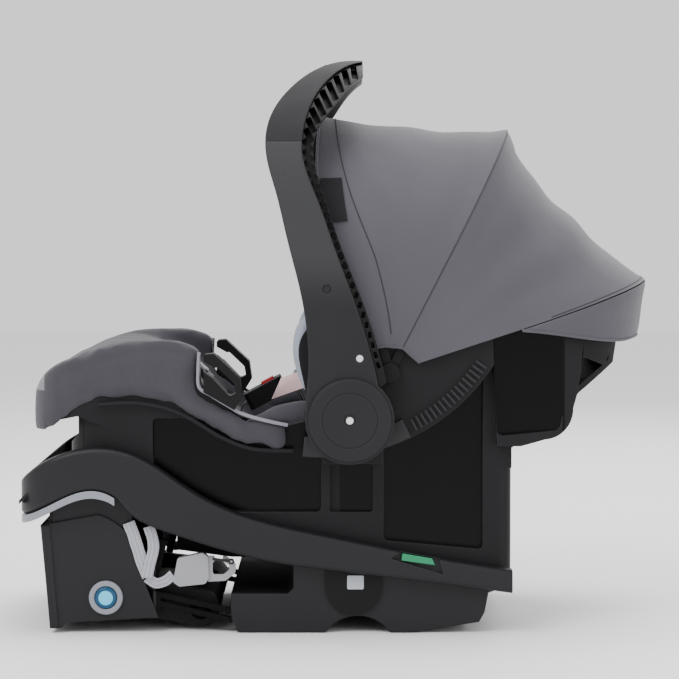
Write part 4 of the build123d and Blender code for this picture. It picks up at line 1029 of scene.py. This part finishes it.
@dataclass
class CanopyHood:
    """The folding hood: front and rear panels between the bows and a gathered tail."""

    palette: Palette
    pivot: Flat = (0.054, 0.285)
    half: float = 0.1876
    cloth: float = 0.0011
    front: Station = Station(-14.7, 0.2895, 0.1305, 0.030)
    middle: Station = Station(27.0, 0.2955, 0.1305, 0.030)
    tail: Station = Station(71.6, 0.3085, 0.150, 0.034)
    tail_top: Station = Station(72.0, 0.3088, 0.150, 0.150)
    tail_low: Station = Station(83.0, 0.286, 0.150, 0.150, 10.6)
    brow: float = 0.030
    brow_height: float = 0.285
    across: int = 120
    uv_length: float = 0.85
    hem_radius: float = 0.0015
    ridge_width: float = 0.007
    fold_height: float = 0.0045
    pull_height: float = 0.0016
    drift_height: float = 0.0022
    front_sag: float = 0.004
    front_ridge: tuple[float, float] = (0.002, 0.003)
    rear_sag: float = 0.0145
    rear_ridge: tuple[float, float] = (0.003, 0.0)
    tail_sag: float = -0.003

    def arch(self, station: Station, share: float) -> tuple[float, float]:
        """Point of an arch, in its own plane.

        Args:
            station: the arch.
            share: 0 at the left end, 1 at the right end.

        Returns:
            Y and the height above the pivot.
        """
        side = -1.0 if share < 0.5 else 1.0
        along = share * 2 if share < 0.5 else (1 - share) * 2
        straight = station.leg - station.start
        bend = (math.pi / 2) * math.sqrt((self.half ** 2 + (station.reach - station.leg) ** 2) / 2)
        travel = along * (straight + bend)
        if travel < straight:
            return side * self.half, station.start + travel
        angle = (travel - straight) / bend * math.pi / 2
        return (side * self.half * math.cos(angle),
                station.leg + (station.reach - station.leg) * math.sin(angle))

    def ahead(self, height: float, t: float) -> float:
        """How far the front sleeve reaches forward of its bow.

        Args:
            height: height above the pivot.
            t: place across the panel.

        Returns:
            The distance in metres.
        """
        share = min(1.0, max(0.0, height / self.brow_height)) ** 1.1
        return self.brow * math.sin(math.pi * share) * max(0.0, 1 - t / 0.2) ** 1.5

    @staticmethod
    def sleeve(height: float) -> float:
        """Place across the front panel of the sleeve's stitching at a height above the pivot."""
        return 0.05 + 0.41 * math.exp(-(height - 0.03) / 0.09)

    def clear_of_bows(self, point: Vector) -> float:
        """0 where cloth lies on a bow or close to the pivot, rising to 1 away from them."""
        x, z = point.x - self.pivot[0], point.z - self.pivot[1]
        near = min(abs(x * math.cos(math.radians(bow.lean)) - z * math.sin(math.radians(bow.lean)))
                   for bow in (self.front, self.middle))
        share = min(1.0, max(0.0, (near - 0.0055) / 0.018))
        spread = min(1.0, max(0.0, (math.hypot(x, z) - 0.06) / 0.12))
        return share * share * (3 - 2 * share) * spread

    def place(self, station: Station, share: float) -> Vector:
        """Point of an arch in the frame."""
        y, height = self.arch(station, share)
        fade = 1 - min(1.0, max(0.0, (height - station.start) / station.rise_over))
        lean = math.radians(station.lean - station.rise * fade ** 1.6)
        return Vector((self.pivot[0] + height * math.sin(lean), y, self.pivot[1] + height * math.cos(lean)))

    def surface(self, first: Station, last: Station, sag: float, ridge: tuple[float, float],
                share: float, t: float) -> Vector:
        """Point of a panel stretched between two arches.

        Args:
            first: the arch at t 0.
            last: the arch at t 1.
            sag: how far the middle of the crown dips.
            ridge: how far the cloth stands up over the bow at each end.
            share: place along the arch.
            t: place across the panel.

        Returns:
            The point.
        """
        a, b = self.place(first, share), self.place(last, share)
        point = a.lerp(b, t)
        if first is self.front:
            lean = math.radians(first.lean)
            point -= Vector((math.cos(lean), 0.0, -math.sin(lean))) * self.ahead(a.z - self.pivot[1], t)
        centre = Vector((self.pivot[0], 0.0, self.pivot[1]))
        out = (point - centre).normalized()
        rise = math.sin(math.pi * share)
        dip = sag * (4 * t * (1 - t)) ** 0.8 * (0.25 + 0.75 * rise)
        span = (b - a).length
        swell = (ridge[0] * math.exp(-((t * span / self.ridge_width) ** 2))
                 + ridge[1] * math.exp(-(((1 - t) * span / self.ridge_width) ** 2)))
        slack = 4 * t * (1 - t)
        folds = noise.noise(Vector((point.x * 9, point.y * 5, point.z * 9 + 3.0))) * self.fold_height
        angle = math.atan2(point.x - centre.x, point.z - centre.z)
        distance = (point - centre).length
        pulls = math.sin(angle * 22 + noise.noise(point * 6) * 3.0) * self.pull_height * min(1.0, distance / 0.15)
        drift = noise.noise(Vector((point.x * 22 + point.z * 16, point.y * 4, point.z * 6 - point.x * 4)))
        pulls += drift * self.drift_height
        free = self.clear_of_bows(point)
        return point - out * (free * (dip - slack * (folds + pulls)) - swell)

    def panel(self, name: str, first: Station, last: Station, rows: int, sag: float,
              ridge: tuple[float, float], hems: Sequence[Hem]) -> bpy.types.Object:
        """One panel of cloth with its bound edges.

        Args:
            name: the piece's name.
            first: arch at the panel's front.
            last: arch at the panel's back.
            rows: intervals from front to back.
            sag: dip of the crown.
            ridge: rise over each bow.
            hems: finish of the front, back, left and right edges.

        Returns:
            The panel, with the binding joined in.
        """
        grid = [[self.surface(first, last, sag, ridge, s / self.across, t / rows)
                 for s in range(self.across + 1)] for t in range(rows + 1)]
        wide = self.across + 1
        piece = mesh_piece(name, [p for row in grid for p in row], grid_faces(rows, self.across))
        layer = piece.data.uv_layers.new(name="cloth")
        for loop in piece.data.loops:
            t, s = divmod(loop.vertex_index, wide)
            gap = (grid[rows][s] - grid[0][s]).length
            layer.data[loop.index].uv = (t / rows * gap, s / self.across * self.uv_length)
        mend(piece)
        finish_modifier(piece, "SOLIDIFY", thickness=self.cloth, offset=-1.0)
        settle(piece, name, self.palette["canopy_fabric"], 60)
        edges = [grid[0], grid[rows], [row[0] for row in grid], [row[-1] for row in grid]]
        parts = [piece]
        for number, (line, hem) in enumerate(zip(edges, hems)):
            if hem is Hem.BOUND:
                parts.append(tube(f"{name}_hem_{number}", line, self.hem_radius, self.palette["canopy_fabric"]))
        return merged(parts, name)

    def seam(self, name: str, first: Station, last: Station, sag: float, ridge: tuple[float, float],
             t: float | None, low: float, high: float) -> bpy.types.Object:
        """A seam line on a panel: a thin raised tube along the arch, in darker cloth that paints the shade of the fold
        at the seam.

        Args:
            name: the piece's name.
            first: arch at the panel's front.
            last: arch at the panel's back.
            sag: dip of the crown.
            ridge: rise over each bow.
            t: place across the panel, or None to follow the sleeve's edge.
            low: first place along the arch.
            high: last place along the arch.

        Returns:
            The seam.
        """
        count, stand, radius = 150, 0.0002, 0.0006
        points = []
        for k in range(count + 1):
            share = low + (high - low) * k / count
            across = t
            if across is None:
                across = self.sleeve(self.place(first, share).z - self.pivot[1])
            points.append(self.surface(first, last, sag, ridge, share, across))
        centre = Vector((self.pivot[0], 0.0, self.pivot[1]))
        lifted = [p + (p - centre).normalized() * stand for p in points]
        # painted shade: the darker seam cloth stands in for the fold's shade along the seam
        return tube(name, lifted, radius, self.palette["canopy_seam_shade"])

    def bend(self, piece: bpy.types.Object, fixed: str, moving: str, fixed_lean: float, moving_lean: float) -> None:
        """Applies the panel's placement to its mesh.

        Args:
            piece: the panel, final.
            fixed: body at the panel's back edge; not used.
            moving: body at its front edge; not used.
            fixed_lean: lean of the back edge in degrees; not used.
            moving_lean: lean of the front edge; not used.
        """
        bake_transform(piece)

    def label(self) -> bpy.types.Object:
        """A blank woven label on the left of the front band."""
        rows, columns = 3, 24
        first_share, length_share, first_t, width_t = 0.197, 0.076, 0.012, 0.075
        stand, outward = 0.0010, Vector((0, -0.0018, 0))
        points = []
        centre = Vector((self.pivot[0], 0.0, self.pivot[1]))
        for k in range(columns + 1):
            for j in range(rows + 1):
                share = first_share + length_share * k / columns
                point = self.surface(self.front, self.middle, self.front_sag, self.front_ridge, share,
                                     first_t + width_t * j / rows)
                points.append(point + (point - centre).normalized() * stand + outward)
        piece = mesh_piece("canopy_label", points, grid_faces(columns, rows))
        finish_modifier(piece, "SOLIDIFY", thickness=0.0012, offset=0.0)
        return settle(piece, "canopy_label", self.palette["dark_binding"], 60)

    def build(self) -> None:
        """Builds the hood's cloth and hangs it on the bows."""
        bound, free = Hem.BOUND, Hem.OPEN
        front = self.panel("canopy_front_cloth", self.front, self.middle, 48, self.front_sag, self.front_ridge,
                           (bound, free, bound, bound))
        stitch = self.seam("front_sleeve_seam", self.front, self.middle, self.front_sag, self.front_ridge,
                           None, 0.02, 0.98)
        front = merged([front, stitch, self.label()], "canopy_front_cloth")
        self.bend(front, "canopy_mid", "canopy_front", self.middle.lean, self.front.lean)
        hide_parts("canopy_front_panel")
        rear = self.panel("canopy_rear_cloth", self.middle, self.tail, 30, self.rear_sag, self.rear_ridge,
                          (free, free, bound, bound))
        ridge = self.seam("mid_bow_seam", self.middle, self.tail, self.rear_sag, self.rear_ridge, 0.004, 0.0, 1.0)
        fold = self.seam("tail_seam", self.middle, self.tail, self.rear_sag, self.rear_ridge, 0.985, 0.2, 0.8)
        rear = merged([rear, ridge, fold], "canopy_rear_cloth")
        self.bend(rear, "carrier", "canopy_mid", self.tail.lean, self.middle.lean)
        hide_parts("canopy_rear_panel")
        tail = self.panel("canopy_tail_cloth", self.tail_top, self.tail_low, 14, self.tail_sag, (0.0, 0.0),
                          (free, bound, bound, bound))
        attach(tail, "carrier")
        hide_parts("canopy_tail")


# ---------------------------------------------------------------- padding
@dataclass
class SeatPadding:
    """Seat pad with its apron, body support and head pillow."""

    frame: dict
    palette: Palette
    rim: tuple[Flat, ...] = ((-338, 240), (-336, 258), (-319, 283), (-283, 301), (-238, 316), (-200, 320), (-166, 317),
                             (-150, 307))
    hem: tuple[Flat, ...] = ((-338, 213), (-318, 216), (-304, 225), (-285, 240), (-262, 249), (-224, 251), (-188, 245),
                             (-160, 233), (-129, 214), (-94, 201), (-50, 199))

    def seat(self) -> bpy.types.Object:
        """The main pad, which wraps over the shell's rim."""
        pad = cad_copy(self.frame, ("seat_pad", "pad_apron"), "seat_pad_cover")
        stuffed(pad, 0.0055, 3.0, 0.004, 0.0012)
        rim = smooth_line(self.rim, 60)
        rim_metres = [(x / 1000, z / 1000) for x, z in rim]

        def depth(point: Vector) -> float:
            """Depth of the pad's seams and quilting at a point."""
            deep = 0.0
            side = abs(point.y)
            if side > 0.152:
                near = min(math.dist((point.x, point.z + 0.014), q) for q in rim_metres)
                deep += ditch(near, 0.004, 0.0022)
                deep -= 0.0016 * math.sin(point.x * 160 + point.z * 60) * min(1.0, near / 0.03)
            elif point.x < -0.12:
                for line in (0.052, 0.104):
                    deep += ditch(side - line, 0.004, 0.0022)
                deep += ditch(point.x + 0.292, 0.004, 0.002)
            elif side < 0.13:
                for line in (0.05, 0.1):
                    deep += ditch(side - line, 0.0045, 0.0026)
            return deep + 0.0016 * noise.noise(point * 14)

        return self.quilted(pad, depth, "pad_fabric")

    def quilted(self, cushion: bpy.types.Object, depth: Callable[[Vector], float],
                finish: str) -> bpy.types.Object:
        """Sews a cushion's channels, smooths it and gives it its finish.

        Args:
            cushion: the stuffed form.
            depth: depth of the sewn channels at a point.
            finish: name of its finish.

        Returns:
            The cushion.
        """
        carve(cushion, depth)
        finish_modifier(cushion, "SUBSURF", levels=1, render_levels=1)
        return settle(cushion, cushion.name, self.palette[finish], 70)

    def piping(self) -> bpy.types.Object:
        """Dark binding along the apron's hem and pale piping round the belt guides."""
        parts = []
        for side in (-1, 1):
            line = side_line(smooth_line(self.hem[4:], 40), side * 0.1655)
            parts.append(tube("hem", line, 0.0024, self.palette["dark_binding"]))
            notch = [(-152, 306), (-153, 285), (-152, 268), (-140, 260), (-122, 249), (-104, 239), (-80, 232),
                     (-56, 227)]
            parts.append(tube("notch", side_line(smooth_line(notch, 30), side * 0.1652), 0.0021,
                              self.palette["pale_piping"]))
        return merged(parts, "pad_piping")

    def support(self) -> bpy.types.Object:
        """The body support with its two side wings."""
        cushion = cad_copy(self.frame, ("body_support",), "body_support_cushion")
        stuffed(cushion, 0.005, 4.0, 0.005, 0.003)

        def depth(point: Vector) -> float:
            """Quilting of the body support."""
            deep = ditch(abs(point.y) - 0.113, 0.004, 0.0024)
            for line in (0.0, 0.056):
                deep += ditch(abs(point.y) - line, 0.004, 0.002)
            return deep + 0.0012 * noise.noise(point * 18)

        return self.quilted(cushion, depth, "lining_fabric")

    def pillow(self) -> bpy.types.Object:
        """The head pillow."""
        cushion = cad_copy(self.frame, ("head_pillow",), "head_pillow_cushion")
        stuffed(cushion, 0.005, 4.0, 0.007, 0.004)
        return self.quilted(
            cushion, lambda point: ditch(abs(point.y) - 0.03, 0.005, 0.003) + 0.001 * noise.noise(point * 20),
            "lining_fabric")

    def roll(self, name: str, line: Sequence[Flat], radii: Sequence[float], y: float, wide: float,
             finish: str) -> bpy.types.Object:
        """A soft stuffed roll along a side line, on both sides of the seat.

        Args:
            name: the piece's name.
            line: side-plane points in millimetres.
            radii: its radius at each point, in metres.
            y: distance of its middle from the middle plane.
            wide: how much wider than high it is.
            finish: name of its finish.

        Returns:
            The roll.
        """
        steps, count, unevenness = 40, 20, 0.10
        parts = []
        for side in (-1, 1):
            path = smooth_line(line, steps)
            rings = []
            for k, (x, z) in enumerate(path):
                before, after = path[max(0, k - 1)], path[min(len(path) - 1, k + 1)]
                angle = math.atan2(after[1] - before[1], after[0] - before[0])
                place = k / steps * (len(radii) - 1)
                low = min(int(place), len(radii) - 2)
                radius = radii[low] + (radii[low + 1] - radii[low]) * (place - low)
                radius *= 1 + unevenness * noise.noise(Vector((x * 0.05, side * 4.0, z * 0.05)))
                radius *= math.sqrt(max(0.02, 1 - (2 * k / steps - 1) ** 8))
                for j in range(count):
                    turn = 2 * math.pi * j / count
                    out = radius * math.cos(turn)
                    rings.append((x / 1000 - math.sin(angle) * out, side * y + radius * wide * math.sin(turn),
                                  z / 1000 + math.cos(angle) * out))
            faces = [(k * count + j, k * count + (j + 1) % count, (k + 1) * count + (j + 1) % count,
                      (k + 1) * count + j) for k in range(steps) for j in range(count)]
            faces += [tuple(range(count))[::-1], tuple(steps * count + j for j in range(count))]
            part = mesh_piece(name, rings, faces)
            mend(part)
            parts.append(part)
        return settle(merged(parts, name), name, self.palette[finish], 60)

    def tag(self) -> bpy.types.Object:
        """A blank fabric tag on the body support's left wing, folded and sewn along one edge."""
        low, high = Vector((-0.0745, -0.1152, 0.262)), Vector((-0.038, -0.1146, 0.284))
        rows, columns = 10, 14
        points = []
        for j in range(rows + 1):
            for k in range(columns + 1):
                s, t = k / columns, j / rows
                x = low.x + (high.x - low.x) * s + 0.010 * t
                z = low.z + (high.z - low.z) * t * 1.05 + 0.013 * s - 0.010
                curl = -0.003 * (1 - s) ** 2 * math.sin(t * 3.0)
                points.append((x, low.y + curl, z))
        piece = mesh_piece("care_tag_cloth", points, grid_faces(rows, columns))
        finish_modifier(piece, "SOLIDIFY", thickness=0.0008, offset=0.0)
        return settle(piece, "care_tag_cloth", self.palette["tag_fabric"], 60)

    def build(self) -> None:
        """Builds the padding and lays it in the carrier."""
        seat, support, pillow = self.seat(), self.support(), self.pillow()
        piping, tag = self.piping(), self.tag()
        lining = self.roll("wing_lining", [(-31, 262), (-38, 285), (-42, 312), (-37, 334), (-24, 350)],
                           (0.006, 0.008, 0.009, 0.008, 0.006), 0.161, 1.7, "lining_fabric")
        bolster = self.roll("thigh_bolsters", [(-112, 219), (-92, 226), (-66, 235), (-40, 241), (-22, 241)],
                            (0.006, 0.009, 0.012, 0.012, 0.010), 0.149, 1.1, "pad_fabric")
        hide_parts("seat_pad", "pad_apron")
        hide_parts("body_support")
        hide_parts("head_pillow")
        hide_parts("care_tag")
        for piece, slot, fill in ((seat, "pad_fabric", 0.5), (support, "lining_fabric", 0.6),
                                  (pillow, "lining_fabric", 0.7), (piping, "pad_fabric", None),
                                  (lining, "lining_fabric", 0.6), (bolster, "pad_fabric", 0.6),
                                  (tag, "tag_fabric", None)):
            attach(piece, "carrier")
            LOG.info("built %s with %d faces", piece.name, len(piece.data.polygons))


# ---------------------------------------------------------------- straps
@dataclass
class HarnessStraps:
    """Shoulder, lap and crotch straps of the harness."""

    palette: Palette
    shoulder: tuple[Flat, ...] = ((203, 296), (191, 313), (172, 307), (120, 263), (62, 217), (6, 206), (-28, 222),
                                  (-43, 250), (-49.8, 266.4))
    lap: tuple[Flat, ...] = ((-2, 197), (-20, 205), (-38, 228), (-45, 252), (-49.8, 266.4))
    crotch: tuple[Flat, ...] = ((-113, 215), (-112.4, 229), (-109.6, 238.3), (-104.4, 241.05))
    width: float = 0.038
    thickness: float = 0.0016

    def build(self) -> None:
        """Builds the straps on both sides."""
        black = self.palette["black_webbing"]
        for side, word in ((-1, "left"), (1, "right")):
            shoulder = ribbon(f"shoulder_strap_{word}", self.shoulder, side * 0.031, side * 0.031, self.width,
                              self.thickness, black, 130)
            lap = ribbon(f"lap_strap_{word}", self.lap, side * 0.078, side * 0.066, self.width, self.thickness,
                         black, 50)
            for strap in (shoulder, lap):
                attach(strap, "carrier")
            if side == -1:
                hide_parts("shoulder_straps")
                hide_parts("lap_straps")
        crotch = ribbon("crotch_strap_webbing", self.crotch, 0.0, 0.0, self.width, self.thickness, black, 24)
        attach(crotch, "carrier")
        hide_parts("crotch_strap")
        LOG.info("built the harness straps")


@dataclass
class AnchorStraps:
    """Folded grey webbing that hangs from under the rim to each anchor connector."""

    palette: Palette
    back: tuple[Flat, ...] = ((-229, 121), (-224, 108), (-219, 92), (-214, 76), (-208, 62))
    front: tuple[Flat, ...] = ((-207, 117), (-203, 104), (-202, 92), (-206, 76), (-209, 61))
    lead: tuple[Flat, ...] = ((-209, 61), (-200, 55), (-190, 57), (-181, 64))

    def hanging(self, name: str, line: Sequence[Flat], width: float, y: float, fold: float) -> bpy.types.Object:
        """A length of webbing seen flat from the side, with a slight lengthwise fold.

        Args:
            name: the piece's name.
            line: side-plane points in millimetres.
            width: webbing width in millimetres, seen from the side.
            y: distance from the middle plane.
            fold: how far its middle stands out.

        Returns:
            The webbing.
        """
        path = smooth_line(line, 30)
        points, columns = [], 8
        for k, (x, z) in enumerate(path):
            before, after = path[max(0, k - 1)], path[min(len(path) - 1, k + 1)]
            dx, dz = after[0] - before[0], after[1] - before[1]
            size = math.hypot(dx, dz)
            for j in range(columns + 1):
                t = j / columns - 0.5
                bow = fold * math.cos(t * math.pi) + 0.0006 * math.sin(k * 0.7)
                points.append(((x - dz / size * t * width) / 1000, y + math.copysign(bow, y),
                               (z + dx / size * t * width) / 1000))
        wide = columns + 1
        piece = mesh_piece(name, points, grid_faces(len(path) - 1, columns))
        layer = piece.data.uv_layers.new(name="strap")
        for loop in piece.data.loops:
            row, column = divmod(loop.vertex_index, wide)
            layer.data[loop.index].uv = (column / columns * width / 1000, row * 0.0021)
        finish_modifier(piece, "SOLIDIFY", thickness=0.0013, offset=0.0)
        return settle(piece, name, self.palette["grey_webbing"], 50)

    def build(self) -> None:
        """Builds the webbing on both sides."""
        for side, word in ((-1, "left"), (1, "right")):
            parts = [
                self.hanging("back", self.back, 13, side * 0.1636, 0.0012),
                self.hanging("front", self.front, 12, side * 0.1655, 0.0012),
                self.hanging("lead", self.lead, 11, side * 0.1636, 0.0010),
            ]
            piece = merged(parts, f"anchor_webbing_{word}")
            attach(piece, "base")
            if side == -1:
                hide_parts("anchor_webbing")
        LOG.info("built the anchor webbing")


# ---------------------------------------------------------------- grips and trim
@dataclass
class SideGrips:
    """Curved grip bands on the shell's sides, with raised ribs across them."""

    palette: Palette
    centre: Flat = (-0.019, 0.413)
    inner: float = 0.198
    outer: float = 0.220
    start: float = -64.0
    end: float = -32.5
    face: float = 0.176
    depth: float = 0.006
    ribs: int = 17
    rib_size: Point = (0.0145, 0.0022, 0.0026)
    rib_margin: float = 1.5

    def band(self, side: int) -> bpy.types.Object:
        """One band: a bar spun round the arc's centre, with a bevelled edge.

        Args:
            side: -1 for the left, 1 for the right.

        Returns:
            The band.
        """
        middle = (self.inner + self.outer) / 2
        bpy.ops.object.select_all(action="DESELECT")
        bpy.ops.mesh.primitive_plane_add(size=1.0, location=(self.centre[0] + middle, 0.0, self.centre[1]))
        piece = bpy.context.view_layer.objects.active
        piece.scale = (self.outer - self.inner, self.depth, 1.0)
        bpy.ops.object.transform_apply(location=True, rotation=True, scale=True)
        piece.data.transform(Matrix.Translation((0.0, side * (self.face + self.depth / 2), 0.0)))
        turn = Matrix.Rotation(-math.radians(self.start), 4, "Y")
        about = Vector((self.centre[0], 0.0, self.centre[1]))
        piece.data.transform(Matrix.Translation(about) @ turn @ Matrix.Translation(-about))
        alone(piece)
        bpy.ops.object.mode_set(mode="EDIT")
        bpy.ops.mesh.select_all(action="SELECT")
        bpy.ops.mesh.spin(steps=40, angle=-math.radians(self.end - self.start), center=about, axis=(0, 1, 0))
        bpy.ops.object.mode_set(mode="OBJECT")
        mend(piece, WELD)
        finish_modifier(piece, "BEVEL", width=0.0014, segments=3, limit_method="ANGLE", angle_limit=math.radians(50))
        return piece

    def rib(self, side: int, degrees: float) -> bpy.types.Object:
        """One raised rib across the band.

        Args:
            side: -1 for the left, 1 for the right.
            degrees: its place on the arc.

        Returns:
            The rib.
        """
        turn = math.radians(degrees)
        middle = (self.inner + self.outer) / 2
        bpy.ops.object.select_all(action="DESELECT")
        bpy.ops.mesh.primitive_cube_add(size=1.0, location=(
            self.centre[0] + middle * math.cos(turn), side * (self.face + self.depth + 0.0004),
            self.centre[1] + middle * math.sin(turn)), rotation=(0.0, -turn, 0.0))
        piece = bpy.context.view_layer.objects.active
        piece.scale = self.rib_size
        bpy.ops.object.transform_apply(location=True, rotation=True, scale=True)
        finish_modifier(piece, "BEVEL", width=0.0009, segments=2)
        return piece

    def build(self) -> None:
        """Builds both bands."""
        for side, word in ((-1, "left"), (1, "right")):
            parts = [self.band(side)]
            for k in range(self.ribs):
                share = (k + 0.5) / self.ribs
                reach = self.end - self.start - 2 * self.rib_margin
                parts.append(self.rib(side, self.start + self.rib_margin + reach * share))
            piece = settle(merged(parts, f"side_grip_{word}"), f"side_grip_{word}", self.palette["grip_rubber"], 35)
            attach(piece, "carrier")
            if side == -1:
                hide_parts("side_grips")
        LOG.info("built the side grips")


@dataclass
class FrameDress:
    """Finishes for the CAD nodes that stay in view."""

    frame: dict
    palette: Palette
    special: dict[str, str] = field(default_factory=lambda: {"handle_ribs": "dark_plastic"})

    def build(self) -> None:
        """Gives every shown CAD node the finish that its record slot names."""
        slots = {row["node"]: row["material_slot"] for row in self.frame["record"]["subparts"]}
        for node, piece in self.frame["nodes"].items():
            material = self.palette[self.special.get(node, slots[node])]
            if not piece.material_slots:
                piece.data.materials.append(material)
            for holder in piece.material_slots:
                holder.material = material
        LOG.info("finished %d frame nodes", len(self.frame["nodes"]))


# ---------------------------------------------------------------- studio
@dataclass
class Studio:
    """Pale floor, soft lights and the camera, square to the seat's left side and a little above its middle."""

    distance: float = 3.1
    aim: Point = (0.0, 0.0, 0.312)
    across: float = 0.775
    rise: float = 0.15
    sensor: float = 36.0
    world_light: float = 1.15
    lamps: tuple[tuple[str, Point, float, float], ...] = (
        ("key", (-1.3, -2.0, 2.3), 1.6, 62.0), ("fill", (1.8, -2.4, 1.2), 2.0, 26.0),
        ("top", (0.2, 0.3, 2.6), 1.4, 40.0), ("rim", (0.8, 2.2, 1.8), 1.5, 30.0))

    def light(self, name: str, place: Point, size: float, watts: float) -> None:
        """A soft area light that points at the seat.

        Args:
            name: the light's name.
            place: where it stands.
            size: its side.
            watts: its power.
        """
        data = bpy.data.lights.new(name, "AREA")
        data.energy = watts
        data.size = size
        lamp = bpy.data.objects.new(name, data)
        lamp.location = place
        lamp.rotation_euler = (Vector(self.aim) - Vector(place)).to_track_quat("-Z", "Y").to_euler()
        bpy.context.scene.collection.objects.link(lamp)

    def build(self) -> None:
        """Sets up the floor, the world, the lights and the camera."""
        bpy.ops.object.select_all(action="DESELECT")
        bpy.ops.mesh.primitive_plane_add(size=14.0, location=(0.0, 0.0, 0.0))
        floor = bpy.context.view_layer.objects.active
        floor.name = "studio_floor"
        sheet = NodeSheet("studio_floor")
        sheet.join(sheet.mix(sheet.noise(3.0), (0.90, 0.90, 0.905), (0.93, 0.93, 0.93)),
                   sheet.shader.inputs["Base Color"])
        sheet.set(Roughness=0.7)
        floor.data.materials.append(sheet.material)
        world = bpy.data.worlds.new("studio")
        world.use_nodes = True
        world.node_tree.nodes["Background"].inputs[0].default_value = (1.0, 1.0, 1.0, 1.0)
        world.node_tree.nodes["Background"].inputs[1].default_value = self.world_light
        bpy.context.scene.world = world
        for lamp in self.lamps:
            self.light(*lamp)
        data = bpy.data.cameras.new("camera")
        data.sensor_width = self.sensor
        data.lens = self.sensor * self.distance / self.across
        data.clip_end = 50.0
        camera = bpy.data.objects.new("camera", data)
        camera.location = (self.aim[0], -self.distance, self.aim[2] + self.rise)
        camera.rotation_euler = (Vector(self.aim) - camera.location).to_track_quat("-Z", "Y").to_euler()
        bpy.context.scene.collection.objects.link(camera)
        bpy.context.scene.camera = camera


def main() -> None:
    """Builds the seat around the frame."""
    logging.basicConfig(level=logging.INFO, format="%(name)s: %(message)s")
    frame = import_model()
    Studio().build()
    palette = Palette()
    FrameDress(frame, palette).build()
    CanopyHood(palette).build()
    SeatPadding(frame, palette).build()
    HarnessStraps(palette).build()
    AnchorStraps(palette).build()
    SideGrips(palette).build()
    LOG.info("wrote the sizes")


if __name__ == "__main__":
    main()
